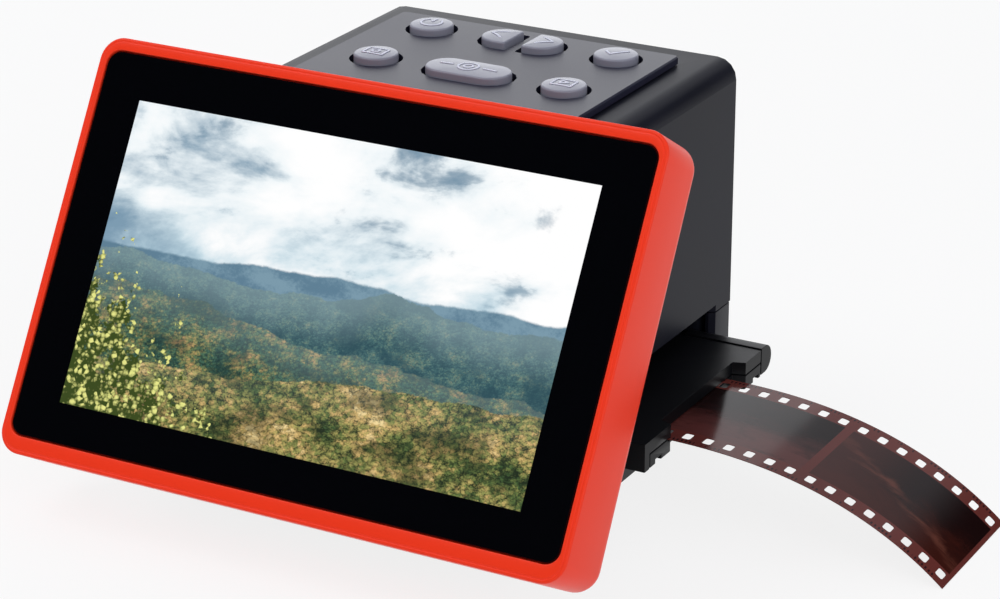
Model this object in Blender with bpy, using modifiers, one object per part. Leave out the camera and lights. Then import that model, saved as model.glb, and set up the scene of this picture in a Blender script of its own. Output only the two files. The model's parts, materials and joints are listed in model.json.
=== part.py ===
"""Desktop film negative scanner, built from its separate pieces.

Metres, +Z up, the display at the front (-Y). The whole scanner hangs from one root empty, whose
place puts the origin under the middle of everything, on the surface that it stands on. Under the
root, x is 0 on the middle plane, y is 0 on the back face and z is 0 on the base's underside.
"""

import math

import bmesh
import bpy
from mathutils import Matrix, Vector

# Clearances
GAP = 0.0003
OVERRUN = 0.0020
MERGE = 0.000001

# Housing
BODY_WIDTH = 0.0892
BODY_HEIGHT = 0.0807
TOP_DEPTH = 0.0655
FRONT_STEP = 0.0011
WALL = 0.0020
SHOULDER_RADIUS = 0.0047
CORNER_RADIUS = 0.0005
SEAM_HEIGHT = 0.0233
PILLAR_DIAMETER = 0.0062
PILLAR_INSET = 0.0061
FRONT_PILLAR_SETBACK = 0.0060
CABLE_SLOT_WIDTH = 0.0160
CABLE_SLOT_HEIGHT = 0.0040
CABLE_SLOT_DROP = 0.0260

# Feet and screws
FOOT_DIAMETER = 0.0110
FOOT_TOP_DIAMETER = 0.0122
FOOT_HEIGHT = 0.0036
FOOT_INSET = 0.0125
FOOT_EDGE = 0.0006
SCREW_DIAMETER = 0.0025
SCREW_HEAD_DIAMETER = 0.0048
SCREW_HEAD_HEIGHT = 0.0017
SCREW_LENGTH = 0.0290
SCREW_SINK = 0.0009
SCREW_RECESS_DIAMETER = 0.0058
SCREW_SOCKET_WIDTH = 0.0020
SCREW_SOCKET_DEPTH = 0.0010

# Display
TILT = math.radians(30.49)
DISPLAY_WIDTH = 0.1355
DISPLAY_HEIGHT = 0.0918
DISPLAY_DEPTH = 0.0189
DISPLAY_TAPER_SHARE = 0.0358
DISPLAY_DROP = 0.0439
DISPLAY_CORNER_RADIUS = 0.0052
DISPLAY_BACK_RADIUS = 0.0045
DISPLAY_BEAD_RADIUS = 0.0007
DISPLAY_WALL = 0.0020
LEDGE_WIDTH = 0.0016
LEDGE_THICKNESS = 0.0014
GLASS_WIDTH = 0.1312
GLASS_HEIGHT = 0.0846
GLASS_THICKNESS = 0.0011
GLASS_RAISE = 0.00055
GLASS_SINK = 0.0003
GLASS_RADIUS = 0.0030
LCD_WIDTH = 0.1207
LCD_HEIGHT = 0.0758
LCD_THICKNESS = 0.0031
BACK_OPENING_MARGIN = 0.0065
BACK_COVER_THICKNESS = 0.0020
BACK_COVER_RIB_HEIGHT = 0.0024
BACK_COVER_RIB_WIDTH = 0.0016
BACK_COVER_RIBS = 3
DISPLAY_BOARD_WIDTH = 0.0620
DISPLAY_BOARD_HEIGHT = 0.0400
DISPLAY_BOARD_THICKNESS = 0.0012

# Control plate and keys
PLATE_WIDTH = 0.0701
PLATE_BACK_MARGIN = 0.0092
PLATE_FRONT_MARGIN = 0.0032
PLATE_RISE = 0.0020
PLATE_RADIUS = 0.0012
PLATE_EDGE = 0.0003
KEYPAD_SHIFT = 0.0008
KEY_COLUMN = 0.0232
KEY_BACK_ROW = 0.0184
KEY_ROW_SPACING = 0.0244
KEY_DIAMETER = 0.0099
KEY_RISE = 0.0017
KEY_EDGE = 0.0009
KEY_DOME = 0.0003
KEY_RING = 0.0010
CAPTURE_LENGTH = 0.0201
ARROW_HALF_GAP = 0.0020
ARROW_REACH = 0.0097
ARROW_CORNER = 0.0008
KEY_TRAVEL = 0.0006
KEY_FLANGE = 0.0012
KEY_FLANGE_THICKNESS = 0.0012
SWITCH_WIDTH = 0.0045
SWITCH_HEIGHT = 0.0015
SWITCH_BUTTON_DIAMETER = 0.0024
SWITCH_BUTTON_HEIGHT = 0.0005
BOARD_THICKNESS = 0.0016
KEY_BOARD_MARGIN = 0.0058
KEY_BOARD_PILLAR = 0.0040

# Film and its holder
FILM_WIDTH = 0.0350
FILM_THICKNESS = 0.00015
FILM_FRAMES = 4
PERFORATION_PITCH = 0.00475
PERFORATIONS_PER_FRAME = 8
PERFORATION_LENGTH = 0.00198
PERFORATION_WIDTH = 0.0028
PERFORATION_RADIUS = 0.0005
PERFORATION_MARGIN = 0.0020
FILM_CURL_ANGLE = 0.71
FILM_CURL_LENGTH = 0.0700
FILM_CURL_POWER = 1.40
FILM_OUTSIDE = 0.0698
FILM_CENTRE = 0.0439
FILM_CLEARANCE = 0.0003
FILM_TRAVEL = 0.0380
GATE_LENGTH = 0.0380
GATE_WIDTH = 0.0260
TRAY_LENGTH = 0.1185
TRAY_HEIGHT = 0.0166
TRAY_THICKNESS = 0.00325
COVER_THICKNESS = 0.0028
LIP_THICKNESS = 0.0022
TRAY_FRONT = 0.07265
NOTCH_DEPTH = 0.0028
NOTCH_BACK = 0.0229
NOTCH_FRONT = 0.0604
NOTCH_CHAMFER = 0.0010
GROOVE_WIDTH = 0.0026
GROOVE_DEPTH = 0.0010
GROOVE_BACK_INSET = 0.0012
GROOVE_FRONT_INSET = 0.0043
RAIL_WIDTH = 0.0018
RAIL_HEIGHT = 0.0009
BAR_BACK = 0.0092
BAR_RADIUS = 0.00315
BAR_FLAT = 0.0145
BAR_COVER_GAP = 0.00045
BAR_SKIN = 0.0007
PIN_DIAMETER = 0.0015
PIN_INSET = 0.0060
KNUCKLE_LENGTH = 0.0120
KNUCKLE_PLACE = 0.0340
KNUCKLE_DIAMETER = 0.0042
COVER_OPENING = math.radians(4.5)
SLOT_CEILING = 0.0250
SLOT_CLEARANCE = 0.00035
SLOT_CHAMFER = 0.0012
GATE_BEVEL = 0.0012

# Inside
DECK_THICKNESS = 0.0020
DECK_MARGIN = 0.0020
DECK_POST_INSET = 0.0110
POST_DIAMETER = 0.0040
CEILING_POST_PLACE = 0.0300
SENSOR_POST_PLACE = 0.0135
DIFFUSER_LENGTH = 0.0440
DIFFUSER_WIDTH = 0.0320
DIFFUSER_THICKNESS = 0.0016
LIGHT_BOX_WALL = 0.0015
LED_ROWS = 2
LED_COLUMNS = 3
LED_WIDTH = 0.0035
LED_HEIGHT = 0.0012
SHROUD_PLATE = 0.0018
SHROUD_MOUTH = 0.0420
SHROUD_NECK = 0.0170
SHROUD_WALL = 0.0015
SHROUD_TOP = 0.0020
LENS_DIAMETER = 0.0120
LENS_LENGTH = 0.0150
LENS_BELOW = 0.0060
LENS_WALL = 0.0015
LENS_FLANGE_DIAMETER = 0.0155
LENS_FLANGE_THICKNESS = 0.0015
LENS_GLASS_THICKNESS = 0.0028
LENS_GLASS_BULGE = 0.0010
LENS_GLASS_INSET = 0.0012
SENSOR_BOARD_WIDTH = 0.0320
SENSOR_WIDTH = 0.0056
SENSOR_THICKNESS = 0.0010
SENSOR_HEADROOM = 0.0111
MAIN_BOARD_WIDTH = 0.0810
MAIN_BOARD_DEPTH = 0.0560
MAIN_BOARD_DROP = 0.0108
MAIN_PILLAR_DIAMETER = 0.0036
MAIN_PILLAR_INSET = 0.0022
USB_WIDTH = 0.0092
USB_HEIGHT = 0.0034
USB_DEPTH = 0.0078
USB_MOUTH_WIDTH = 0.0083
USB_MOUTH_HEIGHT = 0.0025
USB_TONGUE_HEIGHT = 0.0007
USB_TONGUE_WIDTH = 0.0066
USB_PLACE = 0.0100
HDMI_WIDTH = 0.0114
HDMI_HEIGHT = 0.0036
HDMI_DEPTH = 0.0080
HDMI_MOUTH_WIDTH = 0.0104
HDMI_MOUTH_HEIGHT = 0.0026
HDMI_TONGUE_HEIGHT = 0.0007
HDMI_TONGUE_WIDTH = 0.0082
HDMI_PLACE = 0.0270
CARD_WIDTH = 0.0280
CARD_HEIGHT = 0.0032
CARD_DEPTH = 0.0280
CARD_MOUTH_WIDTH = 0.0246
CARD_MOUTH_HEIGHT = 0.0023
CARD_PLACE = 0.0170
SOCKET_INSET = 0.0006

# Facets
ARC_STEPS = 4
ROUND_STEPS = 24
SMALL_ROUND_STEPS = 16

REAR_TILT = TILT - math.atan(DISPLAY_TAPER_SHARE)
HALF_WIDTH = BODY_WIDTH / 2
INNER_HALF = HALF_WIDTH - WALL
FRONT_FOOT_OF_SLOPE = SEAM_HEIGHT + FRONT_STEP
BASE_DEPTH = TOP_DEPTH + (BODY_HEIGHT - FRONT_FOOT_OF_SLOPE) * math.tan(REAR_TILT)
PLATE_TOP = BODY_HEIGHT + PLATE_RISE
INNER_TOP = BODY_HEIGHT - WALL
TRAY_TOP = TRAY_HEIGHT - GAP / 2
TRAY_BOTTOM = TRAY_TOP - TRAY_THICKNESS
COVER_BOTTOM = TRAY_HEIGHT + GAP / 2
COVER_TOP = COVER_BOTTOM + COVER_THICKNESS
FILM_TOP = COVER_BOTTOM - FILM_CLEARANCE
FILM_BOTTOM = FILM_TOP - FILM_THICKNESS
CHANNEL_FLOOR = FILM_BOTTOM - FILM_CLEARANCE
HINGE_Y = -(BAR_BACK + BAR_RADIUS)
HINGE_Z = TRAY_BOTTOM + BAR_RADIUS + GAP
TRAY_BACK = BAR_FLAT + GAP
COVER_BACK = BAR_FLAT + BAR_COVER_GAP
SLOT_BACK = BAR_BACK - SLOT_CLEARANCE
SLOT_FRONT = TRAY_FRONT + SLOT_CLEARANCE
DECK_TOP = TRAY_BOTTOM - GAP
DECK_BOTTOM = DECK_TOP - DECK_THICKNESS
SHROUD_LOW = SLOT_CEILING + GAP
KEY_BOARD_TOP = INNER_TOP - GAP - KEY_FLANGE_THICKNESS - KEY_TRAVEL - GAP - SWITCH_HEIGHT - SWITCH_BUTTON_HEIGHT
KEY_BOARD_HALF = KEY_COLUMN + KEY_DIAMETER / 2 + KEY_BOARD_MARGIN
KEY_BOARD_BACK = -KEY_BACK_ROW + KEY_DIAMETER / 2 + KEY_BOARD_MARGIN
KEY_BOARD_FRONT = -KEY_BACK_ROW - KEY_ROW_SPACING - KEY_DIAMETER / 2 - KEY_BOARD_MARGIN
MAIN_BOARD_TOP = INNER_TOP - MAIN_BOARD_DROP
MAIN_BOARD_BOTTOM = MAIN_BOARD_TOP - BOARD_THICKNESS
SENSOR_BOARD_LOW = MAIN_BOARD_BOTTOM - SENSOR_HEADROOM - BOARD_THICKNESS
LENS_LOW = SENSOR_BOARD_LOW - GAP - LENS_LENGTH
SHROUD_HIGH = LENS_LOW + LENS_BELOW
FRAME_LENGTH = PERFORATION_PITCH * PERFORATIONS_PER_FRAME
FILM_LENGTH = FRAME_LENGTH * FILM_FRAMES
NOTCH_EDGE = TRAY_LENGTH / 2 - NOTCH_DEPTH
FILM_INNER_END = NOTCH_EDGE + FILM_OUTSIDE - FILM_LENGTH


def clear_scene():
    for obj in list(bpy.data.objects):
        bpy.data.objects.remove(obj, do_unlink=True)


def new_collection(name):
    collection = bpy.data.collections.new(name)
    bpy.context.scene.collection.children.link(collection)
    return collection


clear_scene()
PARTS = new_collection("film_scanner")
CUTTERS = new_collection("cutters")
CUTTERS.hide_render = True


def new_material(name, colour, roughness, metallic=0.0):
    material = bpy.data.materials.new(name)
    material.use_nodes = True
    shader = material.node_tree.nodes["Principled BSDF"]
    shader.inputs["Base Color"].default_value = (*colour, 1.0)
    shader.inputs["Roughness"].default_value = roughness
    shader.inputs["Metallic"].default_value = metallic
    material.diffuse_color = (*colour, 1.0)
    return material


DARK = new_material("dark_shell", (0.035, 0.036, 0.045), 0.45)
BLACK = new_material("black_plastic", (0.010, 0.010, 0.012), 0.35)
GREY = new_material("plate_grey", (0.145, 0.145, 0.185), 0.40)
SILVER = new_material("key_silver", (0.42, 0.42, 0.47), 0.35, 0.3)
RED = new_material("frame_red", (0.95, 0.06, 0.03), 0.35)
GLASS = new_material("display_glass", (0.002, 0.003, 0.005), 0.06)
FILM = new_material("film_base", (0.20, 0.06, 0.05), 0.15)
BOARD = new_material("circuit_board", (0.01, 0.10, 0.05), 0.50)
STEEL = new_material("steel", (0.55, 0.55, 0.57), 0.30, 1.0)
RUBBER = new_material("rubber", (0.012, 0.012, 0.012), 0.85)
WHITE = new_material("white_plastic", (0.80, 0.80, 0.78), 0.50)


def new_empty(name, location, rotation=(0.0, 0.0, 0.0), parent=None):
    empty = bpy.data.objects.new(name, None)
    PARTS.objects.link(empty)
    empty.location = location
    empty.rotation_euler = rotation
    empty.parent = parent
    return empty


def to_object(name, bm, material, parent, collection=None):
    bmesh.ops.recalc_face_normals(bm, faces=bm.faces)
    mesh = bpy.data.meshes.new(name)
    bm.to_mesh(mesh)
    bm.free()
    obj = bpy.data.objects.new(name, mesh)
    (collection or PARTS).objects.link(obj)
    obj.parent = parent
    if material:
        mesh.materials.append(material)
        mesh.shade_smooth()
        mesh.set_sharp_from_angle(angle=math.radians(30))
    return obj


def block(low, high):
    """A box between two corners."""
    low, high = Vector(low), Vector(high)
    bm = bmesh.new()
    size = high - low
    place = Matrix.Translation((low + high) / 2) @ Matrix.Diagonal((*size, 1.0))
    bmesh.ops.create_cube(bm, size=1.0, matrix=place)
    return bm


def round_edges(bm, radius, wanted, steps=ARC_STEPS):
    """Rounds the edges whose middle and direction pass the test."""
    edges = []
    for edge in bm.edges:
        start, end = edge.verts[0].co, edge.verts[1].co
        if wanted((start + end) / 2, (end - start).normalized()):
            edges.append(edge)
    bmesh.ops.bevel(
        bm, geom=edges, offset=radius, offset_type="OFFSET", segments=steps, profile=0.5, affect="EDGES"
    )
    return bm


def is_upright(middle, way):
    return abs(way.z) > 0.9


def rounded_block(low, high, radius, steps=ARC_STEPS):
    return round_edges(block(low, high), radius, is_upright, steps)


def rod(radius, low, high, x, y, steps=SMALL_ROUND_STEPS, top_radius=None):
    """An upright cylinder or cone from low to high."""
    bm = bmesh.new()
    bmesh.ops.create_cone(
        bm, cap_ends=True, segments=steps, radius1=radius, radius2=top_radius or radius, depth=high - low,
        matrix=Matrix.Translation((x, y, (low + high) / 2)),
    )
    return bm


def prism(outline, low, high, turn=None):
    """A flat outline filled and extruded along z from low to high, then turned."""
    curve = bpy.data.curves.new("outline", "CURVE")
    curve.dimensions = "2D"
    curve.fill_mode = "BOTH"
    curve.extrude = (high - low) / 2
    spline = curve.splines.new("POLY")
    spline.points.add(len(outline) - 1)
    for point, (x, y) in zip(spline.points, outline):
        point.co = (x, y, 0.0, 1.0)
    spline.use_cyclic_u = True
    obj = bpy.data.objects.new("outline", curve)
    CUTTERS.objects.link(obj)
    bpy.context.view_layer.update()
    mesh = bpy.data.meshes.new_from_object(obj.evaluated_get(bpy.context.evaluated_depsgraph_get()))
    bm = bmesh.new()
    bm.from_mesh(mesh)
    bmesh.ops.remove_doubles(bm, verts=bm.verts, dist=MERGE)
    bmesh.ops.dissolve_limit(bm, angle_limit=math.radians(1), verts=bm.verts, edges=bm.edges)
    bmesh.ops.translate(bm, verts=bm.verts, vec=(0.0, 0.0, (low + high) / 2))
    if turn:
        bmesh.ops.transform(bm, matrix=turn, verts=bm.verts)
    bpy.data.objects.remove(obj, do_unlink=True)
    bpy.data.curves.remove(curve)
    bpy.data.meshes.remove(mesh)
    bmesh.ops.recalc_face_normals(bm, faces=bm.faces)
    return bm


SIDEWAYS = Matrix(((0, 0, 1, 0), (1, 0, 0, 0), (0, 1, 0, 0), (0, 0, 0, 1)))


def side_prism(outline, half_width):
    """An outline of (y, z) points carried along x to both sides."""
    return prism(outline, -half_width, half_width, SIDEWAYS)


def arc(centre, radius, start, end, steps):
    """Points of an arc, angles in degrees."""
    points = []
    for i in range(steps + 1):
        angle = math.radians(start + (end - start) * i / steps)
        points.append((centre[0] + radius * math.cos(angle), centre[1] + radius * math.sin(angle)))
    return points


def turned(name, profile, material, parent, steps=ROUND_STEPS):
    """A profile of (radius, z) points, from the top of the axis down the outside, spun round z."""
    mesh = bpy.data.meshes.new(name)
    mesh.from_pydata([(x, 0.0, z) for x, z in profile], [(i, i + 1) for i in range(len(profile) - 1)], [])
    obj = bpy.data.objects.new(name, mesh)
    PARTS.objects.link(obj)
    obj.parent = parent
    mesh.materials.append(material)
    screw = obj.modifiers.new("spin", "SCREW")
    screw.steps = steps
    screw.render_steps = steps
    screw.use_merge_vertices = True
    screw.merge_threshold = MERGE
    return obj


def combine(obj, cutter_bm, operation, label):
    cutter = to_object(f"{obj.name}_{label}", cutter_bm, None, obj.parent, CUTTERS)
    cutter.hide_render = True
    cutter.display_type = "WIRE"
    modifier = obj.modifiers.new(label, "BOOLEAN")
    modifier.operation = operation
    modifier.object = cutter
    modifier.solver = "EXACT"
    return cutter


def cut(obj, cutter_bm, label):
    return combine(obj, cutter_bm, "DIFFERENCE", label)


def join(obj, addition_bm, label):
    return combine(obj, addition_bm, "UNION", label)


def merge(*meshes):
    """Several closed shapes, clear of each other, in one mesh."""
    result = bmesh.new()
    for bm in meshes:
        part = bpy.data.meshes.new("part")
        bm.to_mesh(part)
        bm.free()
        result.from_mesh(part)
        bpy.data.meshes.remove(part)
    return result


def stadium(length, width, x, y):
    """A slot-shaped outline, long along x."""
    reach = (length - width) / 2
    right = arc((x + reach, y), width / 2, -90, 90, SMALL_ROUND_STEPS // 2)
    left = arc((x - reach, y), width / 2, 90, 270, SMALL_ROUND_STEPS // 2)
    return right + left


def half_stadium(inner, outer, width, x, y, side, corner):
    """Half a slot shape: flat at inner, round at outer, to the side +1 or -1."""
    reach = outer - width / 2
    points = arc((reach, 0.0), width / 2, -90, 90, SMALL_ROUND_STEPS // 2)
    points += arc((inner + corner, width / 2 - corner), corner, 90, 180, 2)
    points += arc((inner + corner, corner - width / 2), corner, 180, 270, 2)
    return [(x + side * px, y + py) for px, py in points]


def origin_shift():
    """Where the root goes, so that the origin lies under the middle of the whole."""
    left = -DISPLAY_WIDTH / 2
    right = film_point(FILM_LENGTH)[0] + math.sin(film_angle(FILM_LENGTH)) * FILM_THICKNESS / 2
    bead = DISPLAY_BEAD_RADIUS
    front = display_spot(bead - DISPLAY_HEIGHT / 2, -bead)[0] - bead
    return Vector((-(left + right) / 2, -front / 2, FOOT_HEIGHT))


def film_point(along):
    """(x, z) of the film's middle surface, this far from its inner end: flat, then curling down."""
    start = FILM_LENGTH - FILM_OUTSIDE
    middle = (FILM_TOP + FILM_BOTTOM) / 2
    if along <= start:
        return FILM_INNER_END + along, middle
    x, z = NOTCH_EDGE, middle
    steps = max(1, round((along - start) / (PERFORATION_PITCH / 8)))
    length = (along - start) / steps
    for i in range(steps):
        angle = film_angle(start + (i + 0.5) * length)
        x += length * math.cos(angle)
        z -= length * math.sin(angle)
    return x, z


def film_angle(along):
    outside = max(0.0, along - (FILM_LENGTH - FILM_OUTSIDE))
    return FILM_CURL_ANGLE * (outside / FILM_CURL_LENGTH) ** FILM_CURL_POWER


def display_centre():
    """(y, z) of the middle of the display's front face, set off from the body's sloping front."""
    back = -DISPLAY_DEPTH - GAP + DISPLAY_TAPER_SHARE * DISPLAY_DROP
    y = -TOP_DEPTH - DISPLAY_DROP * math.sin(TILT) + back * math.cos(TILT)
    z = BODY_HEIGHT - DISPLAY_DROP * math.cos(TILT) - back * math.sin(TILT)
    return y, z


def display_spot(up, out):
    """(y, z) of a spot on the display, up its face and out from it."""
    y, z = display_centre()
    y += up * math.sin(TILT) - out * math.cos(TILT)
    z += up * math.cos(TILT) + out * math.sin(TILT)
    return y, z


ROOT = new_empty("scanner", origin_shift())
DISPLAY = new_empty("display", (0.0, *display_centre()), (math.pi / 2 - TILT, 0.0, 0.0), ROOT)


def body_outline(inset, low, back, front):
    """(y, z) outline of the upper housing, each face moved in by inset, the bottom at low."""
    slope = math.tan(REAR_TILT)
    shift = inset / math.cos(REAR_TILT)
    top = BODY_HEIGHT - inset
    front_y = -BASE_DEPTH + front
    top_y = -TOP_DEPTH + shift - inset * slope
    foot_z = top - (top_y - front_y) / slope
    return [(-back, low), (-back, top), (top_y, top), (front_y, foot_z), (front_y, low)]


def on_side_edge(half_width):
    """Tests for the long edges of the top and the slope, on both sides."""

    def wanted(middle, way):
        at_side = abs(abs(middle.x) - half_width) < MERGE
        raised = middle.z > FRONT_FOOT_OF_SLOPE
        return at_side and raised and abs(way.x) < 0.1 and (abs(way.y) > 0.3)

    return wanted


def slope_height(y):
    """Height of the sloping front's outer face above this y."""
    return BODY_HEIGHT + (y + TOP_DEPTH) / math.tan(REAR_TILT)


def slot_chamfers(low, high):
    """Wedges that break the back corner of the holder's slot on both sides."""
    outer, inner = HALF_WIDTH + OVERRUN, HALF_WIDTH - SLOT_CHAMFER - OVERRUN
    back, front = SLOT_CHAMFER + OVERRUN - SLOT_BACK, -SLOT_BACK - OVERRUN
    return [prism([(side * outer, front), (side * outer, back), (side * inner, front)], low, high) for side in (-1, 1)]


def key_places():
    """Outline makers of each key's cap, by name: what is given grows the outline all round."""
    back = -KEY_BACK_ROW
    front = back - KEY_ROW_SPACING
    left, middle, right = KEYPAD_SHIFT - KEY_COLUMN, KEYPAD_SHIFT, KEYPAD_SHIFT + KEY_COLUMN

    def round_key(x, y):
        return lambda grow: arc((x, y), KEY_DIAMETER / 2 + grow, 0, 360, ROUND_STEPS)[:-1]

    def long_key(grow):
        return stadium(CAPTURE_LENGTH + 2 * grow, KEY_DIAMETER + 2 * grow, middle, front)

    def arrow_key(side):
        return lambda grow: half_stadium(
            ARROW_HALF_GAP - grow, ARROW_REACH + grow, KEY_DIAMETER + 2 * grow, middle, back, side, ARROW_CORNER
        )

    return {
        "power_key": round_key(left, back),
        "mode_key": round_key(left, front),
        "capture_key": long_key,
        "left_key": arrow_key(-1),
        "right_key": arrow_key(1),
        "ok_key": round_key(right, back),
        "playback_key": round_key(right, front),
    }


def key_middles():
    back = -KEY_BACK_ROW
    front = back - KEY_ROW_SPACING
    arrow = (ARROW_HALF_GAP + ARROW_REACH) / 2
    return {
        "power_key": (KEYPAD_SHIFT - KEY_COLUMN, back),
        "mode_key": (KEYPAD_SHIFT - KEY_COLUMN, front),
        "capture_key": (KEYPAD_SHIFT, front),
        "left_key": (KEYPAD_SHIFT - arrow, back),
        "right_key": (KEYPAD_SHIFT + arrow, back),
        "ok_key": (KEYPAD_SHIFT + KEY_COLUMN, back),
        "playback_key": (KEYPAD_SHIFT + KEY_COLUMN, front),
    }


def screw_places():
    x = HALF_WIDTH - PILLAR_INSET
    back = -PILLAR_INSET
    front = -BASE_DEPTH + FRONT_PILLAR_SETBACK
    return {"back_left": (-x, back), "back_right": (x, back), "front_left": (-x, front), "front_right": (x, front)}


def foot_places():
    x = HALF_WIDTH - FOOT_INSET - PILLAR_DIAMETER
    back = -FOOT_INSET
    front = -BASE_DEPTH + FOOT_INSET
    return {"back_left": (-x, back), "back_right": (x, back), "front_left": (-x, front), "front_right": (x, front)}


def socket_places():
    """Each socket's middle, width, height, depth and mouth, hung under the main board at the back."""
    return {
        "usb_socket": (USB_PLACE, USB_WIDTH, USB_HEIGHT, USB_DEPTH, USB_MOUTH_WIDTH, USB_MOUTH_HEIGHT),
        "hdmi_socket": (HDMI_PLACE, HDMI_WIDTH, HDMI_HEIGHT, HDMI_DEPTH, HDMI_MOUTH_WIDTH, HDMI_MOUTH_HEIGHT),
        "card_socket": (-CARD_PLACE, CARD_WIDTH, CARD_HEIGHT, CARD_DEPTH, CARD_MOUTH_WIDTH, CARD_MOUTH_HEIGHT),
    }


def key_board_pillars(radius, low, high):
    x = KEY_BOARD_HALF - KEY_BOARD_PILLAR / 2
    ys = (KEY_BOARD_BACK - KEY_BOARD_PILLAR / 2, KEY_BOARD_FRONT + KEY_BOARD_PILLAR / 2)
    return [rod(radius, low, high, KEYPAD_SHIFT + side * x, y) for side in (-1, 1) for y in ys]


def main_board_pillars(radius, low, high):
    x = MAIN_BOARD_WIDTH / 2 - MAIN_PILLAR_INSET
    back = -WALL - GAP - MAIN_PILLAR_INSET - PILLAR_DIAMETER
    front = -WALL - GAP - MAIN_BOARD_DEPTH + MAIN_PILLAR_INSET
    return [rod(radius, low, high, side * x, y) for side in (-1, 1) for y in (back, front)]


def make_upper_housing():
    low = SEAM_HEIGHT + GAP / 2
    bm = side_prism(body_outline(0.0, low, 0.0, 0.0), HALF_WIDTH)
    round_edges(bm, SHOULDER_RADIUS, on_side_edge(HALF_WIDTH))
    obj = to_object("upper_housing", bm, DARK, ROOT)
    hollow = side_prism(body_outline(WALL, low - OVERRUN, WALL, WALL), INNER_HALF)
    round_edges(hollow, SHOULDER_RADIUS - WALL, on_side_edge(INNER_HALF))
    cut(obj, hollow, "hollow")
    screw_bore = SCREW_DIAMETER / 2 + GAP
    radius = PILLAR_DIAMETER / 2
    for name, (x, y) in screw_places().items():
        top = INNER_TOP + WALL / 2 if "back" in name else slope_height(y - radius) - WALL / 2
        join(obj, rod(radius, low, top, x, y), f"pillar_{name}")
        cut(obj, rod(screw_bore, low - OVERRUN, SCREW_LENGTH + SCREW_SINK + GAP, x, y), f"bore_{name}")
    for i, bm in enumerate(key_board_pillars(KEY_BOARD_PILLAR / 2, KEY_BOARD_TOP + GAP, INNER_TOP + WALL / 2)):
        join(obj, bm, f"key_board_pillar_{i}")
    for i, bm in enumerate(main_board_pillars(MAIN_PILLAR_DIAMETER / 2, MAIN_BOARD_TOP + GAP, INNER_TOP + WALL / 2)):
        join(obj, bm, f"main_board_pillar_{i}")
    slot = block(
        (-HALF_WIDTH - OVERRUN, -SLOT_FRONT, low - OVERRUN), (HALF_WIDTH + OVERRUN, -SLOT_BACK, SLOT_CEILING)
    )
    cut(obj, slot, "tray_slot")
    for i, bm in enumerate(slot_chamfers(low - OVERRUN, SLOT_CEILING)):
        cut(obj, bm, f"slot_chamfer_{i}")
    for name, outline in key_places().items():
        hole = prism(outline(GAP), INNER_TOP - OVERRUN, BODY_HEIGHT + OVERRUN)
        cut(obj, hole, f"hole_{name}")
    for name, (x, width, height, _, _, _) in socket_places().items():
        top = MAIN_BOARD_BOTTOM
        low_corner = (x - width / 2 - GAP, -WALL - OVERRUN, top - GAP - height - GAP)
        high_corner = (x + width / 2 + GAP, OVERRUN, top)
        cut(obj, block(low_corner, high_corner), f"hole_{name}")
    y, z = display_spot(DISPLAY_DROP - CABLE_SLOT_DROP, -DISPLAY_DEPTH)
    cable = block(
        (-CABLE_SLOT_WIDTH / 2, y - 2 * WALL, z - CABLE_SLOT_HEIGHT / 2),
        (CABLE_SLOT_WIDTH / 2, y + 3 * WALL, z + CABLE_SLOT_HEIGHT / 2),
    )
    cut(obj, cable, "cable_slot")
    return obj


def make_base_housing():
    high = SEAM_HEIGHT - GAP / 2
    bm = rounded_block((-HALF_WIDTH, -BASE_DEPTH, 0.0), (HALF_WIDTH, 0.0, high), CORNER_RADIUS, 2)
    obj = to_object("base_housing", bm, DARK, ROOT)
    cut(obj, block((-INNER_HALF, -BASE_DEPTH + WALL, WALL), (INNER_HALF, -WALL, high + OVERRUN)), "hollow")
    for name, (x, y) in screw_places().items():
        join(obj, rod(PILLAR_DIAMETER / 2, WALL / 2, high, x, y), f"boss_{name}")
        cut(obj, rod(SCREW_DIAMETER / 2 + GAP, -OVERRUN, high + OVERRUN, x, y), f"bore_{name}")
        sink = SCREW_SINK + SCREW_HEAD_HEIGHT + GAP
        cut(obj, rod(SCREW_RECESS_DIAMETER / 2, -OVERRUN, sink, x, y), f"recess_{name}")
    slot = block(
        (-HALF_WIDTH - OVERRUN, -SLOT_FRONT, DECK_TOP), (HALF_WIDTH + OVERRUN, -SLOT_BACK, high + OVERRUN)
    )
    cut(obj, slot, "tray_slot")
    for i, bm in enumerate(slot_chamfers(DECK_TOP, high + OVERRUN)):
        cut(obj, bm, f"slot_chamfer_{i}")
    x = INNER_HALF - DECK_POST_INSET
    for name, side, y in (
        ("back_left", -1, -SLOT_BACK - POST_DIAMETER), ("back_right", 1, -SLOT_BACK - POST_DIAMETER),
        ("front_left", -1, -SLOT_FRONT + POST_DIAMETER), ("front_right", 1, -SLOT_FRONT + POST_DIAMETER),
    ):
        join(obj, rod(POST_DIAMETER / 2, WALL / 2, DECK_BOTTOM - GAP, side * x, y), f"deck_post_{name}")
    for i, (x, y) in enumerate(ceiling_posts()):
        join(obj, rod(POST_DIAMETER / 2, WALL / 2, SHROUD_LOW - GAP, x, y), f"ceiling_post_{i}")
    return obj


def make_feet():
    for name, (x, y) in foot_places().items():
        foot = turned(f"foot_{name}", [
            (0.0, -GAP / 10),
            (FOOT_TOP_DIAMETER / 2, -GAP / 10),
            (FOOT_DIAMETER / 2, -FOOT_HEIGHT + FOOT_EDGE),
            (FOOT_DIAMETER / 2 - FOOT_EDGE, -FOOT_HEIGHT),
            (0.0, -FOOT_HEIGHT),
        ], RUBBER, ROOT)
        foot.location = (x, y, 0.0)


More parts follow.
